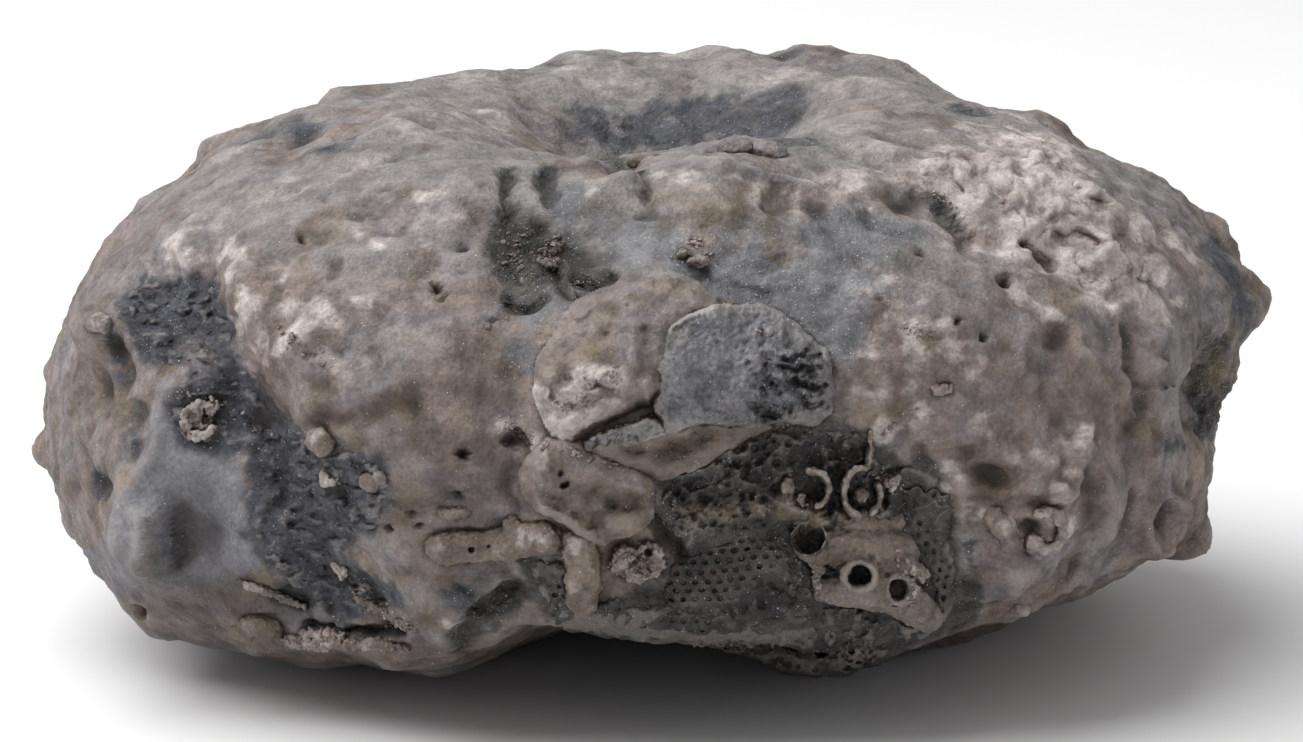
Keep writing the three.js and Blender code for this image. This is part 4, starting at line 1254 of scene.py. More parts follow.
# %% Standing a piece on the stone
def seat(u, w, lift, lean):
    """A matrix that stands a piece, modelled upright round the origin, on a place on the drawing."""
    found, away = stone_at(np.array([[u, w]]))
    z = Vector(away[0])
    x = (Vector((1, 0, 0)) - z * z.x).normalized()
    stand = Matrix((x, z.cross(x), z)).transposed().to_4x4()
    stand.translation = Vector(found[0]) + z * lift
    return stand @ Matrix.Rotation(math.radians(lean), 4, "X")


def roughen(piece, size, amount, seed):
    push_along(piece, amount * fractal(places(piece), size, 3, seed))


def refine(piece, levels):
    subdivision = piece.modifiers.new("fine", "SUBSURF")
    subdivision.levels = subdivision.render_levels = levels
    bpy.context.view_layer.objects.active = piece
    bpy.ops.object.modifier_apply(modifier="fine")


def block(name, size, bevel, levels):
    """A box with rounded edges and many faces, ready to be shaped and roughened."""
    deselect_all()
    bpy.ops.mesh.primitive_cube_add(size=1)
    piece = bpy.context.object
    piece.name = name
    mode("EDIT")
    bpy.ops.transform.resize(value=size)
    bpy.ops.mesh.bevel(offset=bevel, segments=1, affect="EDGES")
    mode("OBJECT")
    if levels:
        refine(piece, levels)
    return piece


def bare_notes(piece, **values):
    """Writes the same value of an attribute all over a piece, and its hollows."""
    for name, value in values.items():
        note(piece, name, np.full(len(piece.data.vertices), value))
    note(piece, "hollow", np.clip(hollow_tone(piece, 8), 0, 1))


# %% [markdown]
# The blade is the edge of a second bit of shell that sticks out from under the first, over a dark
# cavity. It is a crust too, but a high and narrow one with a crystalline upper edge.

# %% Shell blade
BLADE = [
    (-2.2, 6.4), (-1.8, 6.6), (-1.5, 6.68), (-1.16, 6.85), (-0.64, 6.98), (-0.29, 7.05), (0, 7),
    (0.35, 6.7), (0.25, 6.5), (-0.29, 6.3), (-1.16, 6.12), (-2.1, 6)]


def blade_shape(at, depth, flat):
    rise = 0.55 + 0.25 * smoothstep(-2, 0, at[:, 0])
    grown = plateau(depth, 0.1, 1.0, 0.4) * rise + 0.22 * (billow(flat, 0.22, 3, 51) - 0.4)
    return grown + 0.15 * fractal(flat, 0.4, 3, 52)


def blade_pale(at, here):
    upper_edge = smoothstep(0.3, 0.1, depth_inside(at, BLADE)) * smoothstep(6.3, 6.6, at[:, 1])
    return np.clip(0.7 + 0.9 * fractal(here, 0.25, 3, 53), 0, 1) * upper_edge


crust("shell_blade", BLADE, 0.035, blade_shape, shell_grey, ragged=0.1, seed=29,
      haze=everywhere, ochre=lambda at, here: 0 * at[:, 0], calcite=blade_pale,
      shale=lambda at, here: 0.6 * smoothstep(0.0, 0.4, fractal(here, 0.4, 3, 54)))

# %% [markdown]
# The lip under the shell is a smooth brown fold of crust with a thick rounded lower edge.

# %% Brown lip
LIP = [
    (-2.4, 6.2), (-1.7, 5.75), (-0.8, 5.4), (0.1, 5.2), (0.9, 5.35), (1.7, 5.85), (2.6, 6.35), (3.3, 6.7),
    (3.3, 7.2), (1.2, 7.2), (-0.4, 6.9), (-1.6, 6.6)]


def lip_shape(at, depth, flat):
    grown = plateau(depth, 0.6, 0.6)
    under_shell = smoothstep(0.35, 1.0, depth)
    return grown - 0.25 * under_shell + 0.12 * fractal(flat, 0.9, 4, 53) + 0.03 * fractal(flat, 0.25, 2, 50)


crust("brown_lip", LIP, 0.05, lip_shape, ragged=0.06, seed=27,
      # The part of the lip under the shell is darker: painted shadow of the shell.
      porous=lambda at, here: 0.2 + 0.25 * (at[:, 1] > 6.3) + 0.2 * fractal(here, 1.0, 3, 54),
      ochre=lambda at, here: 0.5 + 0.3 * fractal(here, 1.3, 3, 57))

# %% [markdown]
# ## The lobed plate
# Below the lip a second plate of pinkish crust hangs down in lobes, with a pale thick edge.

# %% Lobed plate
LOBED_PLATE = [
    (-4.05, 5.5), (-3.8, 6), (-3.2, 6.6), (-2.6, 6.6), (-1.6, 6.2), (-0.5, 5.8), (0, 5.4), (-0.1, 4.6),
    (-0.1, 4.1), (-0.4, 3.75), (-1, 3.5), (-1.5, 3.25), (-2.1, 3.35), (-2.5, 3.7), (-3.1, 4.1),
    (-3.6, 4.35), (-3.95, 4.8)]
LOBE_MARKS = [mark(*row) for row in [
    ((-2.65, 5.15), 0.09, -0.35), ((-2.8, 5.45), 0.08, -0.2),
    ([(-3.3, 4.35), (-2.6, 4.1), (-2.2, 3.75), (-1.8, 3.5)], 0.16, 0.28),
    ([(-3, 4.6), (-2.4, 4.35), (-1.9, 4)], 0.25, -0.12), ((-0.75, 4), 0.42, 0.42),
    ((-1.35, 4), 0.3, 0.22), ([(-1.9, 4.9), (-1.2, 4.6), (-0.6, 4.6)], 0.2, -0.1),
    ((-0.4, 4.9), 0.25, 0.25), ((-3.3, 5.1), 0.5, 0.25),
    ([(-1.9, 5.5), (-1.3, 5.2), (-0.8, 5.1)], 0.12, 0.14), ((-3.5, 5.7), 0.3, 0.2)]]
LOBE_SHADE = [(-2.2, 4.2, 0.5)]
LOBE_BROWN = [(-0.7, 4.0, 0.4)]


def lobed_shape(at, depth, flat):
    bent = at + 0.12 * wobble(flat, 0.5, 3, 48)
    grown = plateau(depth, 0.6, 0.5) + pressed(bent, LOBE_MARKS)
    return grown + 0.08 * fractal(flat, 1.0, 4, 55) + 0.06 * (billow(flat, 0.25, 3, 56) - 0.5)


def lobe_dark(at, here):
    return 0.2 + 0.3 * fractal(here, 0.9, 4, 58) + 0.2 * spots(at, LOBE_SHADE, 0.3)


def lobe_brown(at, here):
    return np.clip(0.35 + 0.5 * fractal(here, 1.4, 3, 59) + 0.6 * spots(at, LOBE_BROWN, 0.3), 0, 1)


def lobe_pale(at, here):
    lower_edge = smoothstep(0.25, 0.05, depth_inside(at, LOBED_PLATE)) * (at[:, 1] < 4.4)
    patches = smoothstep(0.1, 0.5, fractal(here, 0.6, 4, 60)) * (at[:, 0] < -2.6)
    return 0.5 * lower_edge + 0.5 * patches


crust("lobed_plate", LOBED_PLATE, 0.05, lobed_shape, ragged=0.14, seed=28,
      porous=lobe_dark, ochre=lobe_brown, calcite=lobe_pale)

# %% [markdown]
# ## The dark porous ground
# Under the shell the stone is dark and rough. It is what is left of a lace-like bryozoan colony.
# First comes the rough ground, with pits and thin raised veins. The veins come from a cell noise: they
# run where two of its cells are equally far.

# %% Cell noise
def cell_walls(points, size, seed):
    """0 on the walls between irregular cells, rising towards their middles."""
    shift = Vector((seed * 3.7, seed * 5.3, seed * 1.9))
    found = [noise.voronoi(Vector(p) / size + shift)[0] for p in points]
    return np.array([near[1] - near[0] for near in found])


# %% Dark ground
GROUND_MARKS = [mark(*row) for row in [
    ([(0.6, 3.5), (1.4, 4.1), (2.6, 4.3), (3.7, 4.5)], 0.4, 0.32),
    ([(3.8, 4.4), (4.8, 4.1), (5.8, 4.1), (6.6, 4.2)], 0.35, 0.38), ((1.2, 4), 0.5, 0.25),
    ([(0.4, 5.3), (1.6, 5.6), (2.6, 6.1)], 0.12, 0.15),
    ([(2, 5.9), (2.4, 5.2), (3.1, 5)], 0.07, 0.12),
    ([(1.1, 4.9), (1.9, 5.2), (2.9, 5.6), (3.6, 6.3)], 0.06, 0.1),
    ([(-2.8, 1.3), (-1.4, 1.1), (0, 1.2)], 0.35, 0.1), ((6.9, 0.5), 0.35, -0.4),
    ((5.2, 0.6), 0.5, -0.15), ([(0.1, 3.6), (0.4, 3.2)], 0.18, -0.5)]]
GROUND_PITS = [
    (2.75, 6.15, 0.11), (3.4, 5.75, 0.08), (4.2, 5.7, 0.09), (2.2, 5.75, 0.07), (3.8, 0.7, 0.12),
    (4.1, 0.1, 0.1), (4.3, -0.1, 0.12), (5.3, 0.6, 0.08), (4.9, 0, 0.09), (3.5, 0.2, 0.07),
    (5.7, 0.1, 0.08), (6.3, 1.1, 0.1), (4.9, 6.4, 0.1), (6.5, 5.8, 0.12), (5.4, 5.9, 0.1), (2, 0.9, 0.06),
    (0.5, 4.95, 0.1), (0.3, 4.6, 0.13), (0.1, 4.9, 0.08), (0.5, 4.2, 0.1), (0.2, 4.2, 0.07),
    (0.7, 4.7, 0.07)]
HONEYCOMBS = [
    [(0.3, 2.9), (1, 3.5), (2.5, 3.8), (3.7, 3.9), (4, 3), (3.7, 2.4), (3, 2.2), (2.4, 1.5),
     (1.3, 1.3), (0.2, 1.4), (-0.1, 1.9)],
    [(6.7, 5.2), (7.3, 5.6), (8.5, 5.5), (8.8, 4.4), (8.7, 2.8), (8.9, 1.3), (8.5, 0.6), (7.9, 1.4),
     (7.7, 2.6), (7.1, 3.6)],
    [(-3.7, 2.9), (-2.5, 3.1), (-2.3, 1.9), (-0.5, 1.7), (0.3, 1.6), (2.4, 1.3), (4.6, 1.4),
     (4.4, 0.6), (2.2, 0.4), (0.4, 0.4), (-1.6, 0.7), (-3.3, 0.7)]]
# Smooth brown crust that has spread over the ground, as u, w and a radius.
BROWN_PLACES = [
    (1, 4.2, 0.6), (1.9, 4.4, 0.5), (2.8, 4.5, 0.4), (3.7, 4.4, 0.5), (4.6, 4.1, 0.5), (5.5, 4, 0.5),
    (6.4, 3.7, 0.5), (7.9, 1, 0.6), (2.2, 6.3, 0.5)]


def ground_shape(at, depth, flat):
    grown = 0.24 * (billow(flat, 0.55, 4, 61) - 0.5) + 0.16 * fractal(flat, 0.22, 3, 62)
    grown += 0.1 * (billow(flat, 0.3, 3, 65) - 0.5)
    veins = smoothstep(0.28, 0.1, cell_walls(flat, 0.5, 5)) * smoothstep(0.1, 0.5, fractal(flat, 1.2, 2, 63))
    grown += 0.1 * veins - 0.25 * spots(at, GROUND_PITS, 0.04)
    edge = smoothstep(0, 0.5, depth)
    under_field = smoothstep(-0.2, 0.2, np.max([depth_inside(at, field) for field in HONEYCOMBS], axis=0))
    grown = grown * (1 - 0.8 * under_field) + pressed(at, GROUND_MARKS)
    return grown * edge + 0.08 * edge - 0.25 * (1 - edge)


crust("dark_ground", POROUS[0], 0.05, ground_shape, ragged=0.25, seed=29,
      ochre=lambda at, here: 0.6 * spots(at + 0.2 * fractal(here, 0.8, 3, 64)[:, None], BROWN_PLACES, 0.4))

# %% [markdown]
# The colony itself is a honeycomb of tiny tubes. One cell is modelled from a six-sided face: it is
# inset, and the inner face is pushed in to make the pore. Arrays repeat it, the outline cuts the
# field, and a subdivision rounds the pores. Noise bends the rows a little and fills some pores with
# mud, because a colony that is too regular looks machine-made.

# %% Honeycomb fields
CELL_ACROSS, CELL_UP, CELL_WALL = 0.35, 0.27, 0.08
FIELD_RISE = 0.2


def one_cell(depth):
    """One six-sided cell with an inset pore."""
    deselect_all()
    bpy.ops.mesh.primitive_circle_add(vertices=6, radius=CELL_ACROSS / math.sqrt(3), fill_type="NGON")
    cell = bpy.context.object
    mode("EDIT")
    bpy.ops.transform.resize(value=(1, CELL_UP / (1.5 * CELL_ACROSS / math.sqrt(3)), 1))
    bpy.ops.mesh.inset(thickness=CELL_WALL)
    bpy.ops.mesh.inset(thickness=0.02, depth=-0.5 * depth)
    bpy.ops.mesh.inset(thickness=0.01, depth=-0.5 * depth)
    mode("OBJECT")
    return cell


def repeat(piece, count, offset):
    """Copies a piece in a row and joins the copies where they touch."""
    array = piece.modifiers.new("row", "ARRAY")
    array.use_relative_offset = False
    array.use_constant_offset = True
    array.constant_offset_displace = offset
    array.count = count
    array.use_merge_vertices = True
    array.merge_threshold = 0.01
    bpy.ops.object.modifier_apply(modifier="row")


def honeycomb(name, outline, tilt, open_share, depth=0.15, seed=71):
    """A field of cells inside an outline, turned by tilt degrees, with a share of the pores open."""
    corners = np.array(outline)
    low, high = corners.min(axis=0) - 0.6, corners.max(axis=0) + 0.6
    columns = int((high[0] - low[0]) / CELL_ACROSS) + 1
    rows = int((high[1] - low[1]) / (2 * CELL_UP)) + 1
    field = one_cell(depth)
    field.name = name
    repeat(field, 2, (CELL_ACROSS / 2, CELL_UP, 0))
    repeat(field, columns, (CELL_ACROSS, 0, 0))
    repeat(field, rows, (0, 2 * CELL_UP, 0))
    mode("EDIT")
    bpy.ops.mesh.select_all(action="SELECT")
    bpy.ops.mesh.remove_doubles(threshold=0.01)
    mode("OBJECT")
    flat = places(field)
    flat[:, :2] += low
    middle = corners.mean(axis=0)
    turn = math.radians(tilt)
    offset = flat[:, :2] - middle
    flat[:, 0] = middle[0] + offset[:, 0] * math.cos(turn) - offset[:, 1] * math.sin(turn)
    flat[:, 1] = middle[1] + offset[:, 0] * math.sin(turn) + offset[:, 1] * math.cos(turn)
    level = flat * np.array([1, 1, 0])
    flat[:, 0] += 0.1 * fractal(level, 1.1, 2, seed)
    flat[:, 1] += 0.1 * fractal(level, 1.1, 2, seed + 1)
    set_places(field, flat)
    cut_to(field, outline)
    refine(field, 1)
    flat = places(field)
    level = flat * np.array([1, 1, 0])
    inside = depth_inside(flat[:, :2], outline) + 0.35 * fractal(level, 0.9, 3, seed + 2)
    cleared = smoothstep(0.0, 0.6, inside)
    cleared *= smoothstep(-0.9, 0.4, fractal(level, 0.9, 2, seed + 3) + 2 * open_share - 1)
    flat[:, 2] = (flat[:, 2] - 0.02) * cleared + FIELD_RISE * smoothstep(0, 0.5, inside)
    flat[:, 2] -= 0.2 * smoothstep(0.3, 0, inside)
    flat[:, 2] += 0.04 * fractal(level, 0.5, 3, seed + 4)
    set_places(field, flat)
    lay(field)
    note_regions(field, rounds=10)
    keep(field, bryozoan)


bryozoan = stone_finish("bryozoan", [
    ("porous", (44, 42, 41), (96, 90, 86)),
    ("ochre", (84, 74, 64), (128, 115, 102))], 0.1)
honeycomb("bryozoan_field", HONEYCOMBS[0], 2, 0.8, depth=0.2)
honeycomb("bryozoan_right", HONEYCOMBS[1], 80, 0.42, seed=81)
honeycomb("bryozoan_left", HONEYCOMBS[2], -3, 0.4, depth=0.14, seed=91)

# %% [markdown]
# ## Small tube corals
# Under the shell a family of small tube corals creeps over the ground: smooth brown runners that lie
# on the stone, with short open tubes rising from them. Such soft forms are made like wax models.
# Balls and short cylinders are set on the stone, a voxel remesh melts them into one skin, and a
# smoothing softens the joints. The bores are pushed in afterwards.

# %% Wax modelling
def point_at(u, w, lift=0.0):
    """The point that is seen at a place on the drawing and stands off the stone by lift, in mm."""
    found, away = stone_at(np.array([[u, w]]))
    if lift > 0.05:
        found, away = stone_at(np.array([[u, w]]) - drawn(away * lift))
    return found[0] + away[0] * lift


def ball(place, radius, stretch=(1, 1, 1)):
    """One ball of wax, as a place and three half sizes. All balls are made at once when they melt."""
    return [(*place, *(radius * s for s in stretch))]


def balls(*rows):
    """Balls of wax on the stone, each as u, w, lift, radius and, if it isn't round, its stretch."""
    return [part for u, w, lift, *size in rows for part in ball(point_at(u, w, lift), *size)]


def worm(path, spacing=0.5):
    """Balls along a path of (u, w, lift, radius), close enough to melt into one run."""
    made = []
    for (*a, radius_a), (*b, radius_b) in zip(path, path[1:]):
        a, b = point_at(*a), point_at(*b)
        steps = max(1, math.ceil(np.linalg.norm(b - a) / (spacing * min(radius_a, radius_b))))
        for step in range(steps + 1):
            t = step / steps
            made += ball(a + (b - a) * t, radius_a + (radius_b - radius_a) * t)
    return made


def make_balls(rows):
    """One mesh that holds a copy of a single modelled ball at every row's place and size."""
    deselect_all()
    bpy.ops.mesh.primitive_ico_sphere_add(subdivisions=2, radius=1)
    one = bpy.context.object
    points, faces = places(one), np.array([face.vertices for face in one.data.polygons])
    rows = np.array(rows)
    all_points = (rows[:, None, :3] + points[None] * rows[:, None, 3:]).reshape(-1, 3)
    all_faces = (faces[None] + len(points) * np.arange(len(rows))[:, None, None]).reshape(-1, 3)
    one.data.clear_geometry()
    one.data.from_pydata(all_points.tolist(), [], all_faces.tolist())
    return one


# %% Tubes, melting and boring
TUBE_LENGTH = 0.9
WAX_VOXEL, WAX_SOFTENING = 0.045, 6


def tube(place, axis, radius, wall):
    """A solid stub with a rounded rim at its open end. Its bore is pushed in after melting."""
    axis = Vector(axis).normalized()
    turn = axis.to_track_quat("Z", "Y").to_euler()
    deselect_all()
    bpy.ops.mesh.primitive_cylinder_add(vertices=40, radius=radius, depth=TUBE_LENGTH, rotation=turn,
                                        location=Vector(place) - axis * TUBE_LENGTH / 2)
    stub = bpy.context.object
    bpy.ops.mesh.primitive_torus_add(major_radius=radius - 0.5 * wall, minor_radius=0.62 * wall,
                                     major_segments=40, minor_segments=12, rotation=turn, location=place)
    return [stub, bpy.context.object]


def melt(name, wax):
    """Melts balls and other closed parts into one smooth skin."""
    parts = [part for part in wax if isinstance(part, bpy.types.Object)]
    parts.append(make_balls([part for part in wax if isinstance(part, tuple)]))
    deselect_all()
    for part in parts:
        part.select_set(True)
    piece = parts[0]
    bpy.context.view_layer.objects.active = piece
    if len(parts) > 1:
        bpy.ops.object.join()
    piece.name = name
    bpy.ops.object.transform_apply(location=True, rotation=True, scale=True)
    remesh = piece.modifiers.new("melt", "REMESH")
    remesh.mode = "VOXEL"
    remesh.voxel_size = WAX_VOXEL
    bpy.ops.object.modifier_apply(modifier="melt")
    soften = piece.modifiers.new("soften", "SMOOTH")
    soften.factor = 0.5
    soften.iterations = WAX_SOFTENING
    bpy.ops.object.modifier_apply(modifier="soften")
    return piece


def bore(piece, place, axis, radius, depth):
    """Pushes a round hole into a piece along an axis."""
    axis = np.array(Vector(axis).normalized())
    here = places(piece)
    offset = here - np.array(place)
    along = offset @ axis
    gap = np.linalg.norm(offset - along[:, None] * axis, axis=1)
    near = (along > -depth) & (along < 2 * radius)
    push = smoothstep(1.1 * radius, 0.8 * radius, gap) * near
    set_places(piece, here - axis * ((depth + np.minimum(along, 0)) * push)[:, None])


# %% Coral cluster
# Each tube's place on the drawing, lift, axis, radius, wall and depth of its bore.
TUBES = [
    ((4.35, 3.5), 0.55, (-0.35, -0.8, 0.5), 0.58, 0.13, 0.9),
    ((5.85, 2.35), 0.8, (-0.05, -0.97, 0.12), 0.53, 0.17, 0.8),
    ((7, 1.95), 0.7, (0.1, -0.96, 0.2), 0.5, 0.2, 0.4),
]
wax = []
for (u, w), lift, axis, radius, wall, _ in TUBES:
    wax += tube(point_at(u, w, lift), axis, radius, wall)
wax += worm([(4.6, 3.4, 0, 0.62), (5.6, 3.3, -0.05, 0.68), (6.6, 3.2, -0.1, 0.65),
             (7.3, 3, -0.15, 0.45)])
wax += worm([(4.9, 3.9, -0.1, 0.35), (5.9, 3.95, -0.1, 0.45), (6.9, 3.9, -0.15, 0.4)])
wax += worm([(5.2, 3, 0, 0.4), (6.3, 2.9, 0, 0.45), (7, 2.6, 0, 0.4)])
wax += worm([(4.8, 2, 0, 0.35), (5.4, 1.95, 0.15, 0.5), (6, 2, 0.15, 0.6), (6.8, 1.85, 0.15, 0.6),
             (7.5, 1.5, 0, 0.65), (7.9, 1.1, -0.1, 0.5)])
wax += worm([(4.62, 2.6, 0.4, 0.12), (4.6, 2.2, 0.4, 0.14), (4.8, 1.8, 0.35, 0.13)])
wax += worm([(4.45, 2.75, 0.3, 0.13), (4.75, 2.55, 0.35, 0.14)])
wax += balls((6.75, 1.55, 0.5, 0.2), (7.1, 1.6, 0.5, 0.17), (7.3, 1.9, 0.45, 0.15), (7.2, 2.7, 0.3, 0.35),
             (7.5, 2.5, 0.15, 0.3))
corals = melt("tube_corals", wax)
for (u, w), lift, axis, radius, wall, depth in TUBES:
    bore(corals, point_at(u, w, lift), axis, radius - wall, depth)
bore(corals, point_at(6.9, 1.62, 0.6), (0, -1, 0), 0.12, 0.25)
roughen(corals, 0.9, 0.09, 100)
roughen(corals, 0.4, 0.05, 101)
roughen(corals, 0.15, 0.025, 102)

# %% [markdown]
# The corals, fingers, beads and flakes share one finish: brown, with rims and tops of pale calcite.

# %% Finish of the corals
coral = stone_finish("coral", [
    ("porous", (62, 57, 54), (106, 97, 91)),
    ("ochre", (98, 86, 74), (156, 141, 125)),
    ("calcite", (152, 140, 133), (224, 212, 208))], 0.1)


def rim_notes(piece, rims):
    """Rims of tubes are paler than the rest."""
    at = drawn(places(piece))
    pale = np.zeros(len(at))
    for (u, w), radius in rims:
        gap = np.abs(gap_to(at, u, w) - radius)
        pale = np.maximum(pale, smoothstep(0.2, 0.02, gap))
    return pale * smoothstep(0.5, 0.25, hollow_tone(piece, 6))


note(corals, "calcite", 0.15 * rim_notes(corals, [((u, w), r - 0.08) for (u, w), _, _, r, _, _ in TUBES]))
bare_notes(corals, ochre=0.5)
keep(corals, coral)

# %% [markdown]
# Two more tubes stand above them. Both are broken: one is only half a ring, and the other is partly
# buried in calcite. Their walls are fences of small balls along an arc, melted together.

# %% Broken tubes
def fence(path, low, high, radius):
    """A thin wall along a path on the drawing, from one lift to another."""
    made = []
    layers = math.ceil((high - low) / radius)
    for layer in range(layers + 1):
        lift = low + (high - low) * layer / layers
        made += worm([(u, w, lift, radius) for u, w in path], 0.8)
    return made


def arc(u, w, across, up, start, end, count=8):
    """Places along part of an oval on the drawing, from one angle to another in degrees."""
    turns = [math.radians(start + (end - start) * i / (count - 1)) for i in range(count)]
    return [(u + across * math.cos(t), w + up * math.sin(t)) for t in turns]


wax = fence(arc(4.42, 4.95, 0.52, 0.55, 100, -75), 0, 0.75, 0.085)
wax += fence(arc(5.85, 4.85, 0.5, 0.72, 75, 265), 0, 0.8, 0.09)
wax += fence([(6.05, 5.6), (6.12, 6.1), (6.12, 6.6)], 0, 0.35, 0.07)
wax += fence(arc(5.95, 4.75, 0.5, 0.6, -60, 30), 0, 0.45, 0.08)
wax += worm([(3.7, 4.3, -0.2, 0.4), (4.4, 4.2, -0.15, 0.45), (5.2, 4.1, -0.15, 0.45),
             (6, 4.15, -0.15, 0.4), (6.6, 4.2, -0.25, 0.35)])
wax += balls((5.85, 4.75, 0.2, 0.26), (3.75, 5, 0.2, 0.28, (0.9, 0.8, 1.1)))
broken_tubes = melt("broken_tubes", wax)
roughen(broken_tubes, 0.5, 0.07, 103)
roughen(broken_tubes, 0.15, 0.03, 104)
note(broken_tubes, "calcite", 0.5 * smoothstep(0.45, 0.2, hollow_tone(broken_tubes, 6)))
bare_notes(broken_tubes, ochre=0.7)
keep(broken_tubes, coral)

# %% [markdown]
# ## Fingers, knobs and beads
# Below the lobed plate there are stubby fingers of a broken colony and a pinkish sugary knob. Beads,
# which are loose little bits of other sea lilies, sit in the hollows on the left and on the crest.

# %% Fingers and knobs
def pale_where(piece, rounds):
    """1 near any of the round places (u, w, radius) on a piece, with a ragged edge."""
    here = places(piece)
    at = drawn(here) + 0.15 * wobble(here, 0.4, 4, 150)
    return spots(at, rounds, 0.2) * np.clip(0.75 + 0.8 * fractal(here, 0.3, 3, 152), 0, 1)


def sugar(piece, size, amount, seed):
    """Crystalline roughness: rounded grains with creases between them."""
    push_along(piece, amount * (billow(places(piece), size, 3, seed) - 0.5))


def finger(name, wax, pale, sugary=0.06, tan=0.6, pits=(), seed=110, grey=0.0):
    """Melts wax into a growth with pale places and little pits, both as (u, w, radius)."""
    piece = melt(name, wax)
    roughen(piece, 0.6, 0.09, seed)
    sugar(piece, 0.22, sugary, seed + 1)
    at = drawn(places(piece))
    outwards = smoothstep(0.1, 0.5, normals(piece) @ OUT)
    for u, w, radius in pits:
        gap = gap_to(at, u, w)
        push = 2.5 * radius * outwards * smoothstep(1.2 * radius, 0.7 * radius, gap)
        set_places(piece, places(piece) - OUT * push[:, None])
    note(piece, "calcite", pale_where(piece, pale))
    bare_notes(piece, ochre=tan, porous=grey)
    keep(piece, coral)


finger("upright_finger", worm([(-2.35, 3.5, -0.05, 0.5), (-2.25, 3, 0, 0.6), (-2.2, 2.4, 0.05, 0.6),
                               (-2.25, 1.8, -0.05, 0.55), (-2.2, 1.4, -0.15, 0.4)]),
       [(-2.35, 3.3, 0.3), (-2, 1.6, 0.2), (-2.5, 2.1, 0.15)], seed=111)
finger("lying_finger", worm([(-6.2, 3.3, 0, 0.56), (-5.5, 3.4, 0.05, 0.52), (-4.6, 3.45, 0.05, 0.58),
                             (-3.2, 3.6, -0.05, 0.55)])
       + balls((-5.9, 4.3, -0.1, 0.5, (1.1, 0.8, 0.6)), (-4.2, 3.9, 0.0, 0.35)),
       [(-6.3, 3.35, 0.25), (-3.9, 3.6, 0.35), (-3.3, 3.5, 0.25), (-5.9, 4.5, 0.3), (-4.7, 3.2, 0.15)],
       pits=[(-5.4, 3.2, 0.09), (-4.9, 3.3, 0.05)])
finger("pink_knob", balls((-0.6, 2.9, 0, 0.78, (1.05, 0.8, 0.85)), (-0.95, 3.05, 0.35, 0.33),
                          (-0.3, 2.7, 0.4, 0.3), (-0.75, 2.6, 0.45, 0.3), (-0.1, 3.1, 0.2, 0.3),
                          (-1.2, 2.8, 0.15, 0.3)),
       [(-0.6, 2.85, 1)], sugary=0.22, pits=[(-0.3, 3.1, 0.11)], seed=120)

# %% [markdown]
# Beads and lumps are rounder and smoother. Each is a few balls of wax, its pale places and how tan it
# is.

# %% Beads, knobs and lumps
LUMPS = [
    ("bead_left", [(-9.8, 6.35, 0.1, 0.46)], [(-9.9, 6.5, 0.25)], 0.5),
    ("tan_knob", [(-16.85, 9.8, 0.05, 0.42, (1, 0.9, 0.85))], [(-16.9, 9.9, 0.4)], 0.5),
    ("lump_low_left", [(-8.3, 5.15, 0.05, 0.36, (1.1, 1, 0.9)), (-8, 5.3, 0, 0.25)], [], 0.3),
    ("oval_lump", [(-11.9, 0.7, -0.1, 0.75, (1.1, 1, 0.6)), (-12.5, 0.5, -0.1, 0.4)], [(-12.3, 0.8, 0.15)],
     0.6),
    ("crest_bead_1", [(2.3, 15, 0, 0.48, (1.2, 1, 0.9)), (1.7, 14.9, -0.1, 0.35)], [], 0),
    ("crest_bead_2", [(3.4, 14.9, -0.05, 0.4, (1.25, 1, 0.9))], [], 0),
    ("crest_bead_3", [(-0.6, 14.7, -0.05, 0.26, (1.4, 1, 1))], [], 0.1),
    ("ribbed_knob", [(10.1, 3.8, 0, 0.42), (10.3, 3.35, 0, 0.33), (9.8, 4.1, -0.05, 0.33)],
     [(10.1, 3.9, 0.35)], 0.4),
    ("low_knob_right", [(10.8, 1.25, -0.1, 0.3)], [(10.8, 1.3, 0.2)], 0.3),
]
for index, (name, wax, pale, tan) in enumerate(LUMPS):
    finger(name, balls(*wax), pale, sugary=0.03, tan=tan, seed=130 + 3 * index)

finger("cream_ledge", worm([(-11.1, 0.35, 0, 0.3), (-10.2, 0.4, 0.05, 0.38), (-9.4, 0.45, 0, 0.3)]),
       [(-10.8, 0.4, 0.6), (-9.9, 0.4, 0.6)], sugary=0.2, tan=0.5, seed=190)
finger("pale_twig", worm([(-12.55, 2.15, 0.1, 0.12), (-12.1, 1.95, 0.12, 0.16), (-11.5, 1.75, 0.1, 0.12),
                          (-11.1, 1.55, 0.12, 0.17), (-10.5, 1.35, 0.05, 0.1)], 0.4),
       [(-12.2, 2, 0.5), (-11.1, 1.6, 0.3)], sugary=0.14, tan=0.4, seed=187)
finger("grey_ledge", worm([(-9.1, 0.2, -0.05, 0.24), (-8.3, 0.25, 0, 0.26), (-7.5, 0.2, -0.05, 0.22)]),
       [(-8.6, 0.3, 0.3)], sugary=0.14, tan=0.2, grey=0.3, seed=193)
finger("flaky_crust", worm([(-8.8, 1.7, -0.12, 0.3), (-8.2, 1.4, -0.1, 0.35), (-7.6, 1, -0.12, 0.32),
                            (-7.1, 0.8, -0.12, 0.25)]),
       [(-8.4, 1.5, 0.2)], sugary=0.16, tan=0.5, grey=0.4, seed=196)

# %% [markdown]
# A ring ossicle is one bead of a sea lily's stem: a flat disc with a slot in the middle. This one is
# half sunk in a hollow on the left. A second ring stands at the lower right, open on one side.

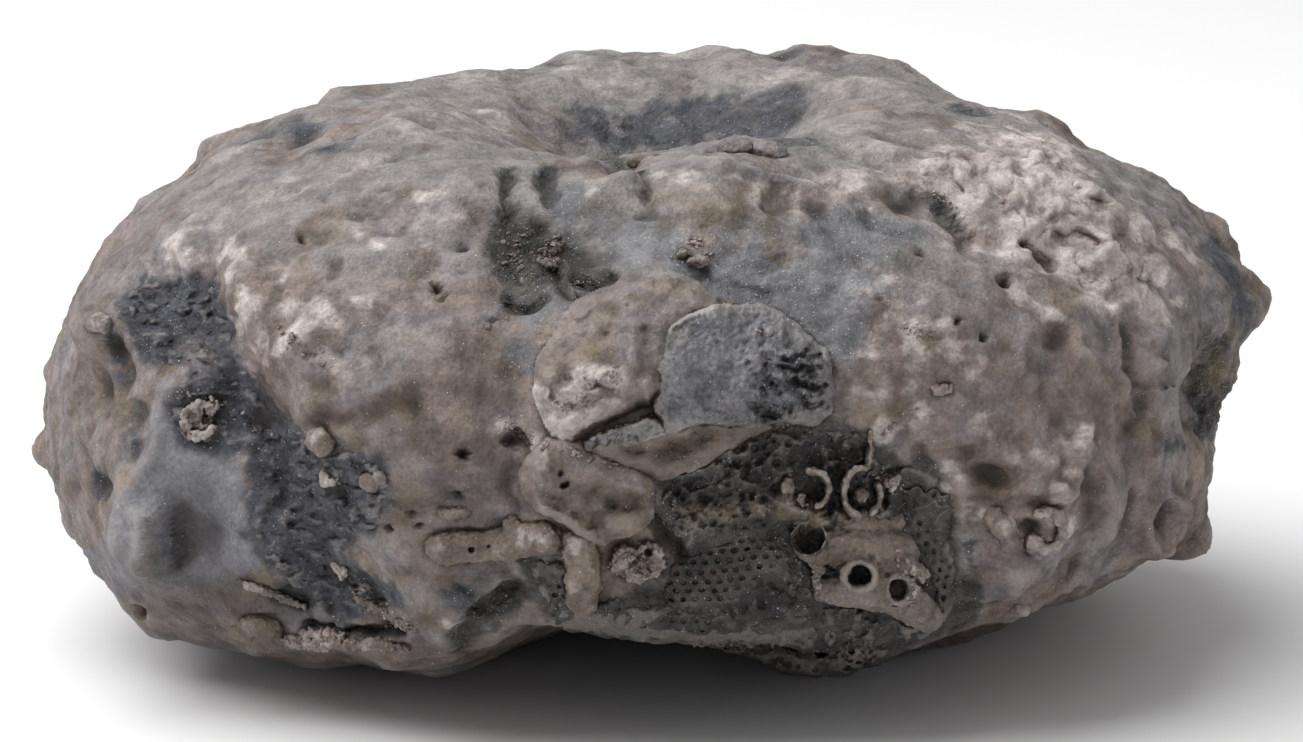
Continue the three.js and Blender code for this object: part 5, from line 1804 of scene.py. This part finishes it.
# %% Rings
rim = arc(-13.65, 6.9, 0.44, 0.48, 20, 330, 14)
wax = balls((-13.6, 6.85, 0.1, 0.6, (0.95, 0.5, 1)))
wax += worm([(u, w, 0.38 - 0.002 * turn, 0.14) for turn, (u, w) in enumerate(rim)])
wax += worm([(-13.3, 7.6, 0.35, 0.1), (-13.1, 7.35, 0.35, 0.1)])
disc = melt("ring_ossicle", wax)
# A row of small bores makes the slot.
for rise in (-0.2, -0.05, 0.1, 0.25):
    bore(disc, point_at(-13.5, 6.95 + rise, 0.5), OUT, 0.07, 0.25)
sugar(disc, 0.3, 0.2, 170)
roughen(disc, 0.5, 0.12, 171)
note(disc, "calcite", 0.85 * pale_where(disc, [(-13.7, 6.9, 0.7)]))
bare_notes(disc, ochre=0.5)
keep(disc, coral)

finger("open_ring", worm([(u, w, 0.1, 0.2) for u, w in arc(11.35, 3.7, 0.5, 0.6, 115, -150, 14)])
       + balls((11.0, 3.3, 0.0, 0.35)), [(11.5, 3.6, 0.9)], tan=0.4, seed=175)

# %% [markdown]
# ## Flakes, chips and crystals
# Small broken bits catch the light all over the stone. A flake is a bevelled box, tapered and
# roughened. Each row of the list says where it stands, how big it is and how it is turned.

# %% Flakes
# Each flake as u, w, lift, width, thickness, height, turn and lean.
FLAKES = [
    (-9.45, 5.25, 0.15, 0.65, 0.3, 0.75, 10, 60), (-9.3, 2.6, 0.1, 0.45, 0.25, 0.6, 45, 70),
    (-10.9, 4.2, 0.1, 0.3, 0.15, 0.25, 20, 60), (-11, 4, 0.1, 0.35, 0.12, 0.2, -10, 60),
    (8.2, 7.85, 0.05, 0.55, 0.3, 0.6, 35, 60), (4, 4.75, 0.3, 0.45, 0.35, 0.5, 10, 50),
    (6.7, 5.2, 0.2, 0.5, 0.35, 0.6, 12, 60), (7.25, 2.75, 0.35, 0.5, 0.35, 0.5, 30, 50),
    (7.6, 2.55, 0.25, 0.4, 0.3, 0.45, -20, 50), (1.05, 11.45, 0.1, 0.9, 0.22, 0.35, -28, 65),
    (0.75, 11.7, 0.1, 0.5, 0.2, 0.3, -15, 60), (-1.42, 9.35, -0.02, 0.4, 0.12, 0.13, -10, 60),
    (-3.05, 8.55, -0.05, 0.4, 0.08, 0.08, 6, 60), (-4.9, 9.65, 0, 0.2, 0.18, 0.22, 20, 60),
    (-1.07, 10.05, -0.02, 0.24, 0.22, 0.22, 0, 60), (-10.6, 9.3, 0.1, 0.3, 0.2, 0.5, 20, 70),
    (-2.36, 10.85, 0.05, 0.25, 0.2, 0.25, 20, 60)]


def flake(row, seed):
    """One tapered and roughened chip, standing where its row says."""
    u, w, lift, width, thick, high, turn, lean = row
    piece = block("flake", (width, thick, high), 0.15 * min(width, thick, high), 3)
    shaped = places(piece)
    taper = 1 - 0.45 * smoothstep(-0.5, 0.5, shaped[:, 2] / high)
    shaped[:, 0] *= taper
    set_places(piece, shaped)
    push_along(piece, 0.3 * min(width, high) * fractal(places(piece) + 10 * seed, 0.4, 3, seed))
    piece.data.transform(Matrix.Rotation(math.radians(turn), 4, "Y"))
    piece.data.transform(seat(u, w, lift, lean - 60))
    return piece


def joined(name, pieces):
    """Joins pieces into one mesh."""
    deselect_all()
    for piece in pieces:
        piece.select_set(True)
    bpy.context.view_layer.objects.active = pieces[0]
    bpy.ops.object.join()
    pieces[0].name = name
    return pieces[0]


flakes = joined("flakes", [flake(row, 200 + index) for index, row in enumerate(FLAKES)])
sugar(flakes, 0.18, 0.04, 230)
note(flakes, "calcite", np.clip(0.55 + 0.6 * fractal(places(flakes), 0.8, 2, 231), 0, 1))
bare_notes(flakes, ochre=0.5)
keep(flakes, coral)

# %% [markdown]
# Crumbs are the smallest loose grains: one chipped cube is modelled, and copies of its mesh are strewn
# along lines on the front, each with its own size, stretch and turn. They keep their flat facets.

# %% Where the crumbs lie
# Each row is a line on the drawing, a count, the smallest and largest size, and how far they spread.
CRUMBS = [
    ([(6.9, 3), (7.5, 2.3), (7.3, 1.5)], 60, 0.05, 0.22, 0.22),
    ([(4.5, 2.7), (4.6, 2.2), (4.9, 1.7)], 40, 0.04, 0.16, 0.12),
    ([(-3.45, 11.75), (-3.1, 11.5)], 70, 0.07, 0.34, 0.24),
    ([(-3.1, 12.2), (-2.9, 11.95)], 50, 0.06, 0.3, 0.2),
    ([(-4.6, 12.4), (-3.9, 11.8), (-4.3, 11)], 90, 0.05, 0.24, 0.5),
    ([(-2.5, 10.95), (-2.3, 10.8)], 16, 0.06, 0.2, 0.12),
    ([(0.9, 12.2), (1.25, 12)], 50, 0.05, 0.24, 0.16),
    ([(1.4, 11.8), (1.7, 11.45)], 24, 0.04, 0.16, 0.15),
    ([(0.2, 6.3), (2.4, 6.8), (4.4, 6.7)], 70, 0.04, 0.14, 0.12),
    ([(-2, 6.5), (-1, 6.8), (-0.1, 7.1)], 60, 0.04, 0.13, 0.05),
    ([(-3.3, 6.3), (-2, 5.9), (-0.8, 5.5)], 50, 0.05, 0.2, 0.12),
    ([(6.3, 5.5), (6.9, 4.9)], 40, 0.05, 0.2, 0.22),
    ([(-9.3, 2), (-8, 1.2), (-7.2, 0.8)], 30, 0.05, 0.2, 0.3),
    ([(-11.2, 0.3), (-9.2, 0.4), (-7.6, 0.3)], 40, 0.05, 0.2, 0.16),
    ([(-12.8, 7.8), (-12.3, 6.9), (-11.6, 6.5)], 30, 0.04, 0.14, 0.3),
    ([(-14.3, 7.8), (-13.4, 7.6), (-12.8, 7.3)], 30, 0.05, 0.16, 0.12),
    ([(6.4, 6.4), (6.9, 7), (7.5, 7.3)], 50, 0.04, 0.13, 0.1),
    ([(8.2, 13.7), (8.8, 13.3)], 30, 0.05, 0.18, 0.2),
    ([(-0.3, 5), (0.4, 4.6), (0.2, 3.9)], 50, 0.04, 0.13, 0.25),
    ([(3.9, 4.9), (4.3, 4.4)], 20, 0.05, 0.15, 0.15), ([(2.8, 9.55), (3.3, 9.4)], 16, 0.05, 0.15, 0.1),
    ([(-4.4, 6.9), (-4.1, 6.6), (-3.6, 6.4)], 60, 0.05, 0.2, 0.2),
    ([(-2.1, 8.2), (-1.9, 7.9), (-1.3, 8.4), (-1.2, 8)], 40, 0.04, 0.12, 0.12),
    ([(-3.2, 7.7), (-2.7, 7.25), (-2, 7.7)], 40, 0.04, 0.13, 0.1),
    ([(7.2, 9.6), (8.1, 9.3)], 50, 0.04, 0.14, 0.22),
    ([(-11.2, 9.4), (-9.3, 8.4)], 60, 0.04, 0.14, 0.4),
    ([(-0.9, 3.1), (-0.3, 2.4)], 50, 0.04, 0.15, 0.35)]


# %% Crumbs
def strewn(name, rows, seed):
    """One mesh of crumbs along all the rows' lines."""
    chance = np.random.default_rng(seed)
    one = block("crumb", (1, 0.75, 0.6), 0.2, 0)
    points, faces = places(one), [list(face.vertices) for face in one.data.polygons]
    all_points, all_faces, paleness = [], [], []
    for path, count, small, large, spread in rows:
        corners = np.array(path)
        steps = chance.uniform(0, len(corners) - 1, count)
        start = steps.astype(int)
        at = corners[start] + (corners[start + 1] - corners[start]) * (steps - start)[:, None]
        at += chance.normal(0, 0.5 * spread, (count, 2))
        sizes = small + (large - small) * chance.random(count) ** 3
        for (u, w), size in zip(at, sizes):
            turn = np.array(Matrix.Rotation(chance.uniform(0, 6.3), 3, chance.normal(size=3)))
            stretch = chance.uniform(0.6, 1.3, 3) * chance.uniform(0.85, 1.15, points.shape)
            all_faces += [[v + len(points) * len(all_points) for v in face] for face in faces]
            all_points.append(front_at(u, w) + 0.05 * size * OUT + size * (points * stretch) @ turn)
            paleness.append(chance.random())
    one.data.clear_geometry()
    one.data.from_pydata(np.concatenate(all_points).tolist(), [], all_faces)
    one.name = name
    note(one, "calcite", np.repeat(paleness, len(points)))
    return one


crumbs = strewn("crumbs", CRUMBS, 240)
bare_notes(crumbs, ochre=0.1)
keep(crumbs, coral)
crumbs.data.shade_flat()

# %% [markdown]
# ## Painted shade and grime
# Mud and dust settle where the air and a brush can't reach, and shade falls there too, so both are
# painted into sheltered places. From each vertex a few rays go out into the half space above it; the
# more of them that hit something close by, the more sheltered the place is, and the darker. The lowest
# part of the stone is painted darker too, as shade.

# %% Painted shade and grime from shelter and height
REACH = 0.9
SPIRAL = [(math.sqrt((i + 0.5) / 9), 2.4 * i) for i in range(9)]


def shelter(points, ways):
    """The share of nearby sky that is blocked at each point, from 0 to 1."""
    side = np.cross(ways, np.where(np.abs(ways[:, 2:]) < 0.9, [[0, 0, 1]], [[1, 0, 0]]))
    side = unit(side)
    other = np.cross(ways, side)
    starts = points + 0.03 * ways
    blocked = np.zeros(len(points))
    for spread, turn in SPIRAL:
        tilt = 0.85 * spread
        rays = ways * math.sqrt(1 - tilt ** 2) + tilt * (math.cos(turn) * side + math.sin(turn) * other)
        for index, (start, ray) in enumerate(zip(starts, rays)):
            gap = every_piece.ray_cast(start, ray, REACH)[3]
            if gap is not None:
                blocked[index] += 1 - gap / REACH
    return blocked / len(SPIRAL)


corners, sides, first = [], [], 0
for piece, tree in kept:
    points = places(piece) / MM
    corners.append(points)
    sides += [tuple(first + v for v in face.vertices) for face in piece.data.polygons]
    first += len(points)
every_piece = BVHTree.FromPolygons(np.concatenate(corners).tolist(), sides)
for (piece, _), points in zip(kept, corners):
    ways = normals(piece)
    seen = ways @ OUT > -0.3
    # Painted shade and grime where nearby pieces shelter a place.
    shade_and_grime = np.zeros(len(points))
    shade_and_grime[seen] = smoothstep(0.04, 0.5, shelter(points[seen], ways[seen]))
    # Painted shade, darker towards the bottom of the stone.
    low_shade = smoothstep(7, 1, points[:, 2] + 1.5 * fractal(points, 3, 2, 250)) * 0.35
    # Painted brown shade along creases, under overhangs and on the underside.
    shade = 0.5 * strokes(points, CREASE_SHADE, 0.4, 251)
    note(piece, "shade_and_grime", np.clip(1.25 * shade_and_grime + low_shade + shade, 0, 1))
print("grime noted on", first, "vertices")

# %% [markdown]
# ## Floor and light
# A plain pale floor and a white surround give the soft, even light of a light tent. One large soft
# lamp overhead makes the upper faces brighter than the lower ones, which models the relief.

# %% Floor and light
FLOOR_COLOUR, FLOOR_ROUGHNESS = (0.85, 0.85, 0.85, 1), 0.9
SURROUND_STRENGTH = 0.45
LAMP_PLACE, LAMP_SIZE, LAMP_POWER = Vector((-0.18, -0.02, 0.36)), 0.5, 2.2

deselect_all()
bpy.ops.mesh.primitive_plane_add(size=4)
floor = bpy.context.object
floor.name = "floor"
floor_paint, _, floor_shader = finish("floor_paint", FLOOR_ROUGHNESS)
floor_shader.inputs["Base Color"].default_value = FLOOR_COLOUR
floor.data.materials.append(floor_paint)

world = bpy.data.worlds.new("studio")
bpy.context.scene.world = world
world.use_nodes = True
surround = world.node_tree.nodes["Background"]
surround.inputs["Color"].default_value = (1, 1, 1, 1)
surround.inputs["Strength"].default_value = SURROUND_STRENGTH

lamp = bpy.data.lights.new("overhead", "AREA")
lamp.shape = "DISK"
lamp.size = LAMP_SIZE
lamp.energy = LAMP_POWER
overhead = bpy.data.objects.new("overhead", lamp)
bpy.context.scene.collection.objects.link(overhead)
look_at(overhead, LAMP_PLACE, Vector((0, 0, 10 * MM)))
bpy.context.scene.view_settings.view_transform = "Standard"
print("floor, surround and lamp are set")
